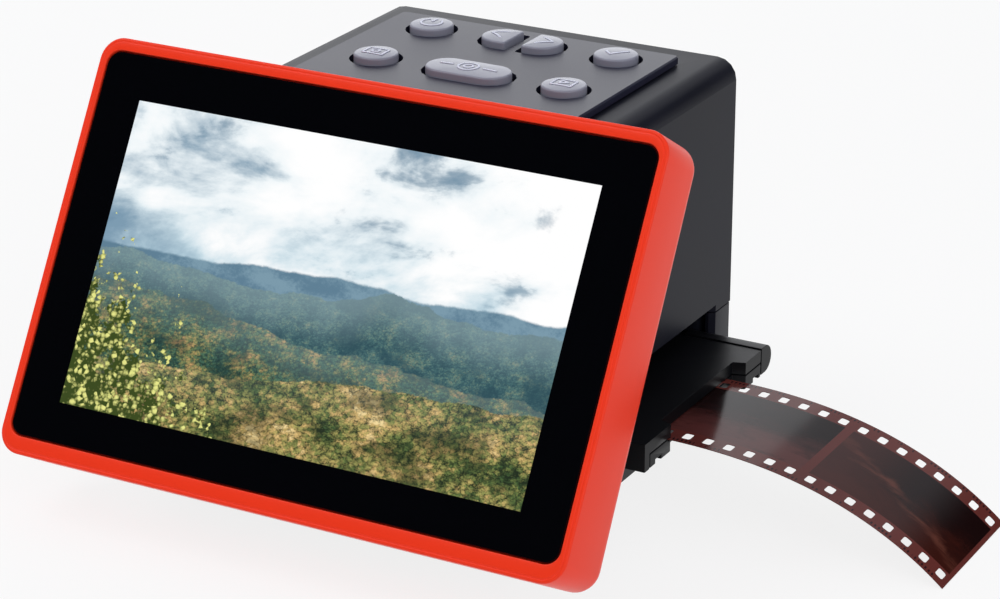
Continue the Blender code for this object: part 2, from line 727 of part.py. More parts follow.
def make_screws():
    for name, (x, y) in screw_places().items():
        shank = SCREW_SINK + SCREW_HEAD_HEIGHT
        screw = turned(f"base_screw_{name}", [
            (0.0, SCREW_SINK + SCREW_LENGTH),
            (SCREW_DIAMETER / 2, SCREW_SINK + SCREW_LENGTH - SCREW_DIAMETER / 2),
            (SCREW_DIAMETER / 2, shank),
            (SCREW_HEAD_DIAMETER / 2, shank),
            (SCREW_HEAD_DIAMETER / 2, SCREW_SINK + FOOT_EDGE),
            (SCREW_HEAD_DIAMETER / 2 - FOOT_EDGE, SCREW_SINK),
            (0.0, SCREW_SINK),
        ], STEEL, ROOT, SMALL_ROUND_STEPS)
        screw.location = (x, y, 0.0)
        half = SCREW_SOCKET_WIDTH / 2
        socket = rod(half, SCREW_SINK - OVERRUN, SCREW_SINK + SCREW_SOCKET_DEPTH, x, y, 6)
        cut(screw, socket, "socket")


def make_control_plate():
    front = -TOP_DEPTH + PLATE_FRONT_MARGIN
    low = (-PLATE_WIDTH / 2, front, BODY_HEIGHT + GAP)
    bm = rounded_block(low, (PLATE_WIDTH / 2, -PLATE_BACK_MARGIN, PLATE_TOP), PLATE_RADIUS, 3)
    round_edges(bm, PLATE_EDGE, lambda middle, way: middle.z > PLATE_TOP - MERGE and abs(way.z) < 0.1, 1)
    obj = to_object("control_plate", bm, GREY, ROOT)
    for name, outline in key_places().items():
        cut(obj, prism(outline(KEY_RING), BODY_HEIGHT - OVERRUN, PLATE_TOP + OVERRUN), f"hole_{name}")
    return obj


def key_profile():
    """Half section of a round key, from the middle of its crown to the middle of its flange."""
    crown = PLATE_TOP + KEY_RISE
    radius = KEY_DIAMETER / 2
    shoulder = arc((radius - KEY_EDGE, crown - KEY_DOME - KEY_EDGE), KEY_EDGE, 90, 0, ARC_STEPS)
    flange_top = INNER_TOP - GAP
    return [(0.0, crown)] + shoulder + [
        (radius, flange_top),
        (radius + KEY_FLANGE, flange_top),
        (radius + KEY_FLANGE, flange_top - KEY_FLANGE_THICKNESS),
        (0.0, flange_top - KEY_FLANGE_THICKNESS),
    ]


def make_keys():
    outlines = key_places()
    crown = PLATE_TOP + KEY_RISE
    flange_top = INNER_TOP - GAP
    for name, (x, y) in key_middles().items():
        if name in ("capture_key", "left_key", "right_key"):
            bm = prism(outlines[name](0.0), flange_top - KEY_FLANGE_THICKNESS / 2, crown)
            round_edges(bm, KEY_EDGE, lambda middle, way: middle.z > crown - MERGE, 3)
            bmesh.ops.translate(bm, verts=bm.verts, vec=(-x, -y, 0.0))
            key = to_object(name, bm, SILVER, ROOT)
            reach = KEY_FLANGE if name == "capture_key" else KEY_FLANGE / 2
            flange = prism(outlines[name](reach), flange_top - KEY_FLANGE_THICKNESS, flange_top)
            join(key, flange, "flange")
        else:
            key = turned(name, key_profile(), SILVER, ROOT)
        key.location = (x, y, 0.0)


def make_key_board():
    low = (KEYPAD_SHIFT - KEY_BOARD_HALF, KEY_BOARD_FRONT, KEY_BOARD_TOP - BOARD_THICKNESS)
    obj = to_object(
        "key_board", block(low, (KEYPAD_SHIFT + KEY_BOARD_HALF, KEY_BOARD_BACK, KEY_BOARD_TOP)), BOARD, ROOT
    )
    half = SWITCH_WIDTH / 2
    sunk = KEY_BOARD_TOP - BOARD_THICKNESS / 2
    for name, (x, y) in key_middles().items():
        top = KEY_BOARD_TOP + SWITCH_HEIGHT
        join(obj, block((x - half, y - half, sunk), (x + half, y + half, top)), f"switch_{name}")
        button = rod(SWITCH_BUTTON_DIAMETER / 2, KEY_BOARD_TOP, top + SWITCH_BUTTON_HEIGHT, x, y, 12)
        join(obj, button, f"button_{name}")
    return obj


def taper(bm):
    """Deepens the display towards its bottom edge, from its front face back."""
    for vertex in bm.verts:
        vertex.co.z *= 1.0 - DISPLAY_TAPER_SHARE * vertex.co.y / DISPLAY_DEPTH
    return bm


def display_block(width, height, low, high, radius, raise_by=0.0):
    return rounded_block(
        (-width / 2, raise_by - height / 2, low), (width / 2, raise_by + height / 2, high), radius
    )


def make_display_frame():
    bm = display_block(DISPLAY_WIDTH, DISPLAY_HEIGHT, -DISPLAY_DEPTH, 0.0, DISPLAY_CORNER_RADIUS)
    back = -DISPLAY_DEPTH + MERGE
    round_edges(bm, DISPLAY_BACK_RADIUS, lambda middle, way: middle.z < back and abs(way.z) < 0.1)
    round_edges(bm, DISPLAY_BEAD_RADIUS, lambda middle, way: middle.z > -MERGE and abs(way.z) < 0.1, 2)
    obj = to_object("display_frame", taper(bm), RED, DISPLAY)
    glass_back = -GLASS_SINK - GLASS_THICKNESS - GAP
    seat = display_block(
        GLASS_WIDTH + 2 * GAP, GLASS_HEIGHT + 2 * GAP, glass_back, OVERRUN, GLASS_RADIUS + GAP, GLASS_RAISE
    )
    cut(obj, seat, "glass_seat")
    through = display_block(
        GLASS_WIDTH - 2 * LEDGE_WIDTH, GLASS_HEIGHT - 2 * LEDGE_WIDTH,
        glass_back - LEDGE_THICKNESS - OVERRUN, OVERRUN, GLASS_RADIUS, GLASS_RAISE,
    )
    cut(obj, through, "ledge_opening")
    cavity_back = -DISPLAY_DEPTH + DISPLAY_WALL
    cavity = taper(display_block(
        DISPLAY_WIDTH - 2 * DISPLAY_WALL, DISPLAY_HEIGHT - 2 * DISPLAY_WALL,
        cavity_back, glass_back - LEDGE_THICKNESS, DISPLAY_CORNER_RADIUS - DISPLAY_WALL,
    ))
    cut(obj, cavity, "cavity")
    opening = taper(display_block(
        DISPLAY_WIDTH - 2 * BACK_OPENING_MARGIN, DISPLAY_HEIGHT - 2 * BACK_OPENING_MARGIN,
        -DISPLAY_DEPTH - OVERRUN, cavity_back + OVERRUN, GLASS_RADIUS,
    ))
    cut(obj, opening, "back_opening")
    return obj


def make_cover_glass():
    top = -GLASS_SINK
    bm = display_block(GLASS_WIDTH, GLASS_HEIGHT, top - GLASS_THICKNESS, top, GLASS_RADIUS, GLASS_RAISE)
    return to_object("cover_glass", bm, GLASS, DISPLAY)


def make_lcd():
    top = -GLASS_SINK - GLASS_THICKNESS - GAP
    low = (-LCD_WIDTH / 2, -LCD_HEIGHT / 2, top - LCD_THICKNESS)
    lcd = to_object("lcd_module", block(low, (LCD_WIDTH / 2, LCD_HEIGHT / 2, top)), STEEL, DISPLAY)
    board_top = top - LCD_THICKNESS - GAP
    low = (-DISPLAY_BOARD_WIDTH / 2, -DISPLAY_BOARD_HEIGHT / 2, board_top - DISPLAY_BOARD_THICKNESS)
    high = (DISPLAY_BOARD_WIDTH / 2, DISPLAY_BOARD_HEIGHT / 2, board_top)
    to_object("display_board", block(low, high), BOARD, DISPLAY)
    return lcd


def make_back_cover():
    width = DISPLAY_WIDTH - 2 * BACK_OPENING_MARGIN - 2 * GAP
    height = DISPLAY_HEIGHT - 2 * BACK_OPENING_MARGIN - 2 * GAP
    back = -DISPLAY_DEPTH
    bm = taper(display_block(width, height, back, back + BACK_COVER_THICKNESS, GLASS_RADIUS - GAP))
    obj = to_object("display_back_cover", bm, DARK, DISPLAY)
    reach = width / 2 - BACK_OPENING_MARGIN
    for i in range(BACK_COVER_RIBS):
        y = (i - (BACK_COVER_RIBS - 1) / 2) * height / BACK_COVER_RIBS
        low = (-reach, y - BACK_COVER_RIB_WIDTH / 2, back + BACK_COVER_THICKNESS / 2)
        high = (reach, y + BACK_COVER_RIB_WIDTH / 2, back + BACK_COVER_THICKNESS + BACK_COVER_RIB_HEIGHT)
        join(obj, taper(block(low, high)), f"rib_{i}")
    return obj


def holder_outline(front, back):
    """Plan of the film holder's plates, with a shallow notch across the film at each end."""
    end, notch = TRAY_LENGTH / 2, NOTCH_EDGE
    right = [
        (end, -front), (end, -NOTCH_FRONT), (notch, -NOTCH_FRONT + NOTCH_CHAMFER),
        (notch, -NOTCH_BACK - NOTCH_CHAMFER), (end, -NOTCH_BACK), (end, -back),
    ]
    left = [(-x, y) for x, y in reversed(right)]
    return right + left


def gate(low, high, grow=0.0):
    x, y = GATE_LENGTH / 2 + grow, GATE_WIDTH / 2 + grow
    return block((-x, -FILM_CENTRE - y, low), (x, -FILM_CENTRE + y, high))


def groove_places():
    back = -TRAY_BACK - GROOVE_BACK_INSET - GROOVE_WIDTH / 2
    front = -TRAY_FRONT + LIP_THICKNESS + GROOVE_FRONT_INSET
    return back, front


def make_film_tray():
    front = TRAY_FRONT - LIP_THICKNESS - GAP
    obj = to_object("film_tray", prism(holder_outline(front, TRAY_BACK), TRAY_BOTTOM, TRAY_TOP), BLACK, ROOT)
    half = FILM_WIDTH / 2 + FILM_CLEARANCE
    reach = TRAY_LENGTH / 2 + OVERRUN
    channel = block((-reach, -FILM_CENTRE - half, CHANNEL_FLOOR), (reach, -FILM_CENTRE + half, TRAY_TOP + OVERRUN))
    cut(obj, channel, "film_channel")
    cut(obj, gate(TRAY_BOTTOM - OVERRUN, TRAY_TOP + OVERRUN), "gate")
    for i, y in enumerate(groove_places()):
        low = (-reach, y - GROOVE_WIDTH / 2, TRAY_BOTTOM - OVERRUN)
        cut(obj, block(low, (reach, y + GROOVE_WIDTH / 2, TRAY_BOTTOM + GROOVE_DEPTH)), f"groove_{i}")
    return obj


def hinge_rod(radius, x, reach, steps=SMALL_ROUND_STEPS):
    """A rod along x on the holder's hinge line."""
    bm = rod(radius, -reach, reach, 0.0, 0.0, steps)
    turn = Matrix.Translation((x, HINGE_Y, HINGE_Z)) @ Matrix.Rotation(math.pi / 2, 4, "Y")
    bmesh.ops.transform(bm, matrix=turn, verts=bm.verts)
    return bm


def make_hinge_bar():
    round_back = arc((HINGE_Y, HINGE_Z), BAR_RADIUS, 90, -90, 10)
    outline = round_back + [(-BAR_FLAT, HINGE_Z - BAR_RADIUS), (-BAR_FLAT, HINGE_Z + BAR_RADIUS)]
    obj = to_object("tray_hinge_bar", side_prism(outline, TRAY_LENGTH / 2), BLACK, ROOT)
    for side in (-1, 1):
        reach = KNUCKLE_LENGTH / 2 + GAP
        middle = side * KNUCKLE_PLACE
        low = (middle - reach, -BAR_FLAT - OVERRUN, HINGE_Z - BAR_RADIUS - OVERRUN)
        high = (middle + reach, -BAR_BACK - BAR_SKIN, HINGE_Z + BAR_RADIUS + OVERRUN)
        cut(obj, block(low, high), f"pocket_{'left' if side < 0 else 'right'}")
    bore = hinge_rod(PIN_DIAMETER / 2 + GAP, 0.0, TRAY_LENGTH / 2 - PIN_INSET + GAP)
    cut(obj, bore, "bore")
    return obj


def make_hinge_pin():
    bm = hinge_rod(PIN_DIAMETER / 2, 0.0, TRAY_LENGTH / 2 - PIN_INSET)
    return to_object("tray_hinge_pin", bm, STEEL, ROOT)


def make_tray_cover():
    """The cover's own origin lies on the hinge line."""
    obj = to_object(
        "tray_cover", prism(holder_outline(TRAY_FRONT, COVER_BACK), COVER_BOTTOM, COVER_TOP), BLACK, ROOT
    )
    half = TRAY_LENGTH / 2
    low = (-half, -TRAY_FRONT, TRAY_BOTTOM)
    join(obj, block(low, (half, -TRAY_FRONT + LIP_THICKNESS, COVER_BOTTOM + COVER_THICKNESS / 2)), "lip")
    for side, word in ((-1, "left"), (1, "right")):
        x = side * KNUCKLE_PLACE
        reach = KNUCKLE_LENGTH / 2
        join(obj, hinge_rod(KNUCKLE_DIAMETER / 2, x, reach), f"knuckle_{word}")
        low = (x - reach, -COVER_BACK - KNUCKLE_DIAMETER / 2, COVER_BOTTOM)
        high = (x + reach, HINGE_Y, HINGE_Z + KNUCKLE_DIAMETER / 2)
        join(obj, block(low, high), f"arm_{word}")
    cut(obj, hinge_rod(PIN_DIAMETER / 2 + GAP, 0.0, half), "bore")
    cut(obj, gate(COVER_BOTTOM - OVERRUN, COVER_TOP + OVERRUN), "gate")
    bevel = gate(COVER_TOP - GATE_BEVEL, COVER_TOP + GATE_BEVEL)
    for vertex in bevel.verts:
        if vertex.co.z > COVER_TOP:
            vertex.co.x += math.copysign(2 * GATE_BEVEL, vertex.co.x)
            vertex.co.y += math.copysign(2 * GATE_BEVEL, vertex.co.y + FILM_CENTRE)
    cut(obj, bevel, "gate_bevel")
    pivot_to(obj, Vector((0.0, HINGE_Y, HINGE_Z)))
    return obj


def pivot_to(obj, point):
    """Moves an object's origin to a point, and leaves its shape and its cutters where they are."""
    obj.data.transform(Matrix.Translation(-point))
    obj.location = point


def perforations():
    """Both rows of holes down the flat strip, one half pitch in from each end."""
    holes = []
    row = FILM_WIDTH / 2 - PERFORATION_MARGIN - PERFORATION_WIDTH / 2
    x, y = PERFORATION_LENGTH / 2, PERFORATION_WIDTH / 2
    for i in range(PERFORATIONS_PER_FRAME * FILM_FRAMES):
        middle = (i + 0.5) * PERFORATION_PITCH
        for side in (-1, 1):
            low = (middle - x, side * row - y, -OVERRUN)
            holes.append(rounded_block(low, (middle + x, side * row + y, OVERRUN), PERFORATION_RADIUS, 1))
    return merge(*holes)


def make_film():
    """A flat strip, cut, then each of its points carried onto the curl."""
    bm = block((0.0, -FILM_WIDTH / 2, -FILM_THICKNESS / 2), (FILM_LENGTH, FILM_WIDTH / 2, FILM_THICKNESS / 2))
    start = FILM_LENGTH - FILM_OUTSIDE
    first = math.floor(start / PERFORATION_PITCH)
    for i in range(first, PERFORATIONS_PER_FRAME * FILM_FRAMES):
        bmesh.ops.bisect_plane(
            bm, geom=bm.verts[:] + bm.edges[:] + bm.faces[:],
            plane_co=(i * PERFORATION_PITCH, 0.0, 0.0), plane_no=(1.0, 0.0, 0.0),
        )
    flat = to_object("film_flat", bm, FILM, None)
    cutter = cut(flat, perforations(), "perforations")
    bpy.context.view_layer.update()
    mesh = bpy.data.meshes.new_from_object(flat.evaluated_get(bpy.context.evaluated_depsgraph_get()))
    bpy.data.objects.remove(flat, do_unlink=True)
    bpy.data.objects.remove(cutter, do_unlink=True)
    for vertex in mesh.vertices:
        along, across, height = vertex.co
        x, z = film_point(along)
        angle = film_angle(along)
        vertex.co = (x + height * math.sin(angle), across - FILM_CENTRE, z + height * math.cos(angle))
    mesh.name = "film_strip"
    obj = bpy.data.objects.new("film_strip", mesh)
    PARTS.objects.link(obj)
    obj.parent = ROOT
    return obj


def make_tray_guide():
    """The deck that the holder slides on, with a rail for each groove and a window over the light."""
    half = INNER_HALF - GAP
    front = -SLOT_FRONT - DECK_MARGIN
    back = -PILLAR_INSET - PILLAR_DIAMETER / 2 - GAP
    obj = to_object("tray_guide", block((-half, front, DECK_BOTTOM), (half, back, DECK_TOP)), BLACK, ROOT)
    for i, y in enumerate(groove_places()):
        low = (-half, y - RAIL_WIDTH / 2, DECK_TOP - DECK_THICKNESS / 2)
        join(obj, block(low, (half, y + RAIL_WIDTH / 2, DECK_TOP + RAIL_HEIGHT)), f"rail_{i}")
    cut(obj, gate(DECK_BOTTOM - OVERRUN, DECK_TOP + OVERRUN), "window")
    return obj


def make_backlight():
    """From the base up: the lamp board, the light box round it and the diffuser under the deck."""
    x, y = DIFFUSER_LENGTH / 2, DIFFUSER_WIDTH / 2
    top = DECK_BOTTOM - GAP
    low = (-x, -FILM_CENTRE - y, top - DIFFUSER_THICKNESS)
    to_object("diffuser", block(low, (x, -FILM_CENTRE + y, top)), WHITE, ROOT)
    box_top = top - DIFFUSER_THICKNESS - GAP
    board_low = WALL + GAP
    board_top = board_low + BOARD_THICKNESS
    box_low = board_top + GAP
    low = (-x, -FILM_CENTRE - y, box_low)
    box = to_object("light_box", block(low, (x, -FILM_CENTRE + y, box_top)), WHITE, ROOT)
    inner_x, inner_y = x - LIGHT_BOX_WALL, y - LIGHT_BOX_WALL
    low = (-inner_x, -FILM_CENTRE - inner_y, box_low - OVERRUN)
    cut(box, block(low, (inner_x, -FILM_CENTRE + inner_y, box_top + OVERRUN)), "hollow")
    low = (-x, -FILM_CENTRE - y, board_low)
    board = to_object("backlight_board", block(low, (x, -FILM_CENTRE + y, board_top)), BOARD, ROOT)
    for i in range(LED_COLUMNS):
        for j in range(LED_ROWS):
            px = (i - (LED_COLUMNS - 1) / 2) * DIFFUSER_LENGTH / (LED_COLUMNS + 1)
            py = (j - (LED_ROWS - 1) / 2) * DIFFUSER_WIDTH / (LED_ROWS + 1) - FILM_CENTRE
            half = LED_WIDTH / 2
            low = (px - half, py - half, board_top - BOARD_THICKNESS / 2)
            join(board, block(low, (px + half, py + half, board_top + LED_HEIGHT)), f"lamp_{i}_{j}")


def pyramid(mouth, neck, low, high):
    """An upright pyramid stump over the middle of the film."""
    bm = bmesh.new()
    spread = math.sqrt(0.5)
    place = Matrix.Translation((0.0, -FILM_CENTRE, (low + high) / 2)) @ Matrix.Rotation(math.pi / 4, 4, "Z")
    bmesh.ops.create_cone(
        bm, cap_ends=True, segments=4, radius1=mouth * spread, radius2=neck * spread, depth=high - low, matrix=place
    )
    return bm


def ceiling_posts():
    """Where the base's posts carry the slot's ceiling, behind the slot and in front of it."""
    back = -SLOT_BACK + POST_DIAMETER / 2 + GAP
    front = -SLOT_FRONT - DECK_MARGIN - GAP - POST_DIAMETER / 2
    return [(side * CEILING_POST_PLACE, y) for side in (-1, 1) for y in (back, front)]


def make_camera_shroud():
    """The slot's ceiling, and over its window the tunnel up to the lens."""
    half = INNER_HALF - GAP
    shoulder = HALF_WIDTH - PILLAR_INSET - PILLAR_DIAMETER / 2 - GAP
    front = -SLOT_FRONT - DECK_MARGIN - GAP - POST_DIAMETER
    notch = -PILLAR_INSET - PILLAR_DIAMETER / 2 - GAP
    back = -WALL - GAP
    right = [(half, front), (half, notch), (shoulder, notch), (shoulder, back)]
    outline = right + [(-x, y) for x, y in reversed(right)]
    obj = to_object("camera_shroud", prism(outline, SHROUD_LOW, SHROUD_LOW + SHROUD_PLATE), BLACK, ROOT)
    outer = SHROUD_MOUTH + 2 * SHROUD_WALL
    neck = SHROUD_NECK + 2 * SHROUD_WALL
    join(obj, pyramid(outer, neck, SHROUD_LOW + SHROUD_PLATE / 2, SHROUD_HIGH), "tunnel")
    for i, (side, way) in enumerate(((-1, -1), (-1, 1), (1, -1), (1, 1))):
        x, y = side * SENSOR_POST_PLACE, way * SENSOR_POST_PLACE - FILM_CENTRE
        top = SENSOR_BOARD_LOW - GAP
        join(obj, rod(POST_DIAMETER / 2, SHROUD_LOW + SHROUD_PLATE / 2, top, x, y), f"sensor_post_{i}")
    inside_top = SHROUD_HIGH - SHROUD_TOP
    cut(obj, pyramid(SHROUD_MOUTH, SHROUD_NECK, SHROUD_LOW - OVERRUN / 2, inside_top), "inside")
    radius = LENS_DIAMETER / 2 + GAP
    cut(obj, rod(radius, inside_top - OVERRUN, SHROUD_HIGH + OVERRUN, 0.0, -FILM_CENTRE), "lens_hole")
    reach = PILLAR_DIAMETER / 2 + GAP
    for name, (x, y) in screw_places().items():
        if "front" in name:
            side = math.copysign(1.0, x)
            xs = sorted((x - side * reach, side * (half + OVERRUN)))
            low = (xs[0], min(y - reach, front - OVERRUN), SHROUD_LOW - OVERRUN)
            cut(obj, block(low, (xs[1], y + reach, SHROUD_LOW + SHROUD_PLATE + OVERRUN)), f"corner_{name}")
    return obj


def make_lens():
    """A barrel hung by its flange in the tunnel's roof, with the front glass inside its lower end."""
    radius = LENS_DIAMETER / 2
    bore = radius - LENS_WALL
    low = LENS_LOW
    flange_low = SHROUD_HIGH + GAP
    flange_high = flange_low + LENS_FLANGE_THICKNESS
    barrel = turned("lens_barrel", [
        (bore, low + LENS_LENGTH), (radius, low + LENS_LENGTH), (radius, flange_high),
        (LENS_FLANGE_DIAMETER / 2, flange_high), (LENS_FLANGE_DIAMETER / 2, flange_low),
        (radius, flange_low), (radius, low), (bore, low), (bore, low + LENS_LENGTH),
    ], BLACK, ROOT)
    barrel.location = (0.0, -FILM_CENTRE, 0.0)
    glass_low = low + LENS_GLASS_INSET
    glass_high = glass_low + LENS_GLASS_THICKNESS
    edge = bore - GAP
    middle = (glass_low + glass_high) / 2
    rim = LENS_GLASS_THICKNESS / 2 - LENS_GLASS_BULGE
    profile = []
    for i in range(ARC_STEPS + 1):
        share = i / ARC_STEPS
        profile.append((edge * share, middle + rim + LENS_GLASS_BULGE * (1 - share * share)))
    profile += [(r, 2 * middle - z) for r, z in reversed(profile)]
    lens = turned("lens_glass", profile, GLASS, ROOT)
    lens.location = (0.0, -FILM_CENTRE, 0.0)


def make_sensor_board():
    low = SENSOR_BOARD_LOW
    half = SENSOR_BOARD_WIDTH / 2
    bm = block((-half, -FILM_CENTRE - half, low), (half, -FILM_CENTRE + half, low + BOARD_THICKNESS))
    obj = to_object("sensor_board", bm, BOARD, ROOT)
    half = SENSOR_WIDTH / 2
    bm = block((-half, -FILM_CENTRE - half, low - SENSOR_THICKNESS), (half, -FILM_CENTRE + half, low + BOARD_THICKNESS / 2))
    join(obj, bm, "sensor")
    return obj


def make_main_board():
    half = MAIN_BOARD_WIDTH / 2
    back = -WALL - GAP
    bm = block((-half, back - MAIN_BOARD_DEPTH, MAIN_BOARD_BOTTOM), (half, back, MAIN_BOARD_TOP))
    obj = to_object("main_board", bm, BOARD, ROOT)
    for name, (x, y) in screw_places().items():
        if "back" in name:
            reach = PILLAR_DIAMETER / 2 + GAP
            side = math.copysign(1.0, x)
            xs = sorted((x - side * reach, side * (half + OVERRUN)))
            low = (xs[0], y - reach, MAIN_BOARD_BOTTOM - OVERRUN)
            cut(obj, block(low, (xs[1], back + OVERRUN, MAIN_BOARD_TOP + OVERRUN)), f"corner_{name}")
    return obj


def make_sockets():
    """Box sockets under the main board, their mouths in the back wall's openings."""
    tongues = {
        "usb_socket": (USB_TONGUE_WIDTH, USB_TONGUE_HEIGHT),
        "hdmi_socket": (HDMI_TONGUE_WIDTH, HDMI_TONGUE_HEIGHT),
    }
    for name, (x, width, height, depth, mouth_width, mouth_height) in socket_places().items():
        top = MAIN_BOARD_BOTTOM - GAP
        back = -SOCKET_INSET
        bm = block((x - width / 2, back - depth, top - height), (x + width / 2, back, top))
        obj = to_object(name, bm, STEEL, ROOT)
        middle = top - height / 2
        wall = (height - mouth_height) / 2
        low = (x - mouth_width / 2, back - depth + 2 * wall, middle - mouth_height / 2)
        cut(obj, block(low, (x + mouth_width / 2, back + OVERRUN, middle + mouth_height / 2)), "mouth")
        if name in tongues:
            tongue_width, tongue_height = tongues[name]
            low = (x - tongue_width / 2, back - depth + wall, middle - tongue_height / 2)
            join(obj, block(low, (x + tongue_width / 2, back - wall, middle + tongue_height / 2)), "tongue")


make_upper_housing()
make_base_housing()
make_feet()
make_screws()
make_control_plate()
make_keys()
make_key_board()
make_display_frame()
make_cover_glass()
make_lcd()
make_back_cover()
make_film_tray()
make_hinge_bar()
make_hinge_pin()
make_tray_cover()
make_film()
make_tray_guide()
make_backlight()
make_camera_shroud()
make_lens()
make_sensor_board()
make_main_board()
make_sockets()
bpy.context.view_layer.update()
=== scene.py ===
# Desktop film negative scanner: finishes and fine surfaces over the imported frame. Metres, +Z up.
import json
import math

import bmesh
import bpy
import numpy as np
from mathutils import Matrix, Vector


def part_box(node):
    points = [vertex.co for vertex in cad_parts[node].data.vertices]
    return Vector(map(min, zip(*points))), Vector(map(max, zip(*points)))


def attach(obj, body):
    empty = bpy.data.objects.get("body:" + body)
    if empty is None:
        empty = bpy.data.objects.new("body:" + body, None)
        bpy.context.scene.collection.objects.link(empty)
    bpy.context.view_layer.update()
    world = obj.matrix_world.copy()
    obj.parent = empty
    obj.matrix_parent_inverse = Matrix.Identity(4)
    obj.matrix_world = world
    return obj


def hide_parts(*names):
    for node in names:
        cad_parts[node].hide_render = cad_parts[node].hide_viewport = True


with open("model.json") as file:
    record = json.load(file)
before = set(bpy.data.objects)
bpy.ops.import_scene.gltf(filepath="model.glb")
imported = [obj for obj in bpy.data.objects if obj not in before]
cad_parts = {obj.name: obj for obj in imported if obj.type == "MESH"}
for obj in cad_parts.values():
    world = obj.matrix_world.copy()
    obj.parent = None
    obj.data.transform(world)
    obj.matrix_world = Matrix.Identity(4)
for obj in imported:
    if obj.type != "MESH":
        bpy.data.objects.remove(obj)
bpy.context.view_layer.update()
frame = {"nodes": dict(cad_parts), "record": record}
nodes = frame["nodes"]
bodyOf = {node: body for body, members in frame["record"]["behaviour"]["bodies"].items() for node in members}
print("frame:", len(nodes), "nodes")

mm = 0.001
baseLow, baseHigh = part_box("base_housing")
# Where the housing's middle plane, back face and underside meet
bodyOrigin = Vector(((baseLow.x + baseHigh.x) / 2, baseHigh.y, baseLow.z))


# Shader maths on sockets
class Wire:
    # A socket whose sums add Math nodes.

    def __init__(self, tree, socket):
        self.tree = tree
        self.socket = socket

    def maths(self, operation, *values):
        return self.tree.add("ShaderNodeMath", {"operation": operation}, *values)

    def __add__(self, other):
        return self.maths("ADD", self, other)

    def __radd__(self, other):
        return self.maths("ADD", other, self)

    def __sub__(self, other):
        return self.maths("SUBTRACT", self, other)

    def __rsub__(self, other):
        return self.maths("SUBTRACT", other, self)

    def __mul__(self, other):
        return self.maths("MULTIPLY", self, other)

    def __truediv__(self, other):
        return self.maths("DIVIDE", self, other)

    def __gt__(self, other):
        return self.maths("GREATER_THAN", self, other)

    def __lt__(self, other):
        return self.maths("LESS_THAN", self, other)

    def __abs__(self):
        return self.maths("ABSOLUTE", self)

    def high(self, other):
        return self.maths("MAXIMUM", self, other)

    def centred(self):
        # A value from 0 to 1 moved to lie evenly about zero.
        return self - 0.5

    def fract(self):
        return self.maths("FRACT", self)

    def floor(self):
        return self.maths("FLOOR", self)

    def step(self, start, end, low=0.0, high=1.0):
        # Smooth rise from low at start to high at end.
        settings = {"interpolation_type": "SMOOTHSTEP", "clamp": True}
        return self.tree.add("ShaderNodeMapRange", settings, self, start, end, low, high)


class Finish:
    # A material under construction: add() makes a node and returns one of its outputs.

    def __init__(self, name, **fixed):
        self.material = bpy.data.materials.new(name)
        self.material.use_nodes = True
        self.nodes = self.material.node_tree.nodes
        self.links = self.material.node_tree.links
        self.shader = self.nodes["Principled BSDF"]
        for socket, value in fixed.items():
            self.set(socket.replace("_", " "), value)

    def add(self, kind, settings=None, *values, out=0, **named):
        node = self.nodes.new(kind)
        for key, value in (settings or {}).items():
            if key == "ramp":
                ramp = node.color_ramp
                while len(ramp.elements) < len(value):
                    ramp.elements.new(0.5)
                for element, (place, colour) in zip(ramp.elements, value):
                    element.position = place
                    element.color = (*colour, 1.0)
            else:
                setattr(node, key, value)
        pairs = list(enumerate(values)) + [(key.replace("_", " "), value) for key, value in named.items()]
        for key, value in pairs:
            self.feed(node.inputs[key], value)
        return Wire(self, node.outputs[out])

    def feed(self, socket, value):
        if isinstance(value, Wire):
            self.links.new(value.socket, socket)
        elif value is not None:
            if socket.type == "RGBA" and len(value) == 3:
                value = (*value, 1.0)
            socket.default_value = value

    def set(self, socket, value):
        self.feed(self.shader.inputs[socket], value)

    def place(self, scale=1.0):
        # Object coordinates, scaled.
        point = self.add("ShaderNodeTexCoord", out=3)
        return self.add("ShaderNodeMapping", None, Vector=point, Scale=(scale, scale, scale))

    def split(self, vector):
        node = self.nodes.new("ShaderNodeSeparateXYZ")
        self.feed(node.inputs[0], vector)
        return [Wire(self, output) for output in node.outputs]

    def uv(self, name):
        return self.split(self.add("ShaderNodeUVMap", {"uv_map": name}))[:2]

    def join(self, x, y, z=0.0):
        return self.add("ShaderNodeCombineXYZ", None, x, y, z)

    def noise(self, vector, scale, detail=3.0, roughness=0.5, distortion=0.0):
        return self.add(
            "ShaderNodeTexNoise", None, Vector=vector, Scale=scale, Detail=detail, Roughness=roughness,
            Distortion=distortion,
        )

    def cells(self, vector, scale, channel=0):
        # Distance to the nearest cell's middle, and one channel of that cell's own colour.
        near, colour = (
            self.add("ShaderNodeTexVoronoi", None, Vector=vector, Scale=scale, Randomness=1.0, out=out)
            for out in (0, 1)
        )
        return near, self.split(colour)[channel]

    def mix(self, share, first, second):
        node = self.nodes.new("ShaderNodeMix")
        node.data_type = "RGBA"
        self.feed(node.inputs[0], share)
        self.feed(node.inputs[6], first)
        self.feed(node.inputs[7], second)
        return Wire(self, node.outputs[2])

    def bump(self, height, strength, distance):
        return self.add("ShaderNodeBump", None, Strength=strength, Distance=distance, Height=height)


grainLook = {
    "driftScale": 38.0, "driftSpan": (0.3, 0.7), "detail": 2.0, "fineRoughness": 0.6, "height": 0.00002,
}


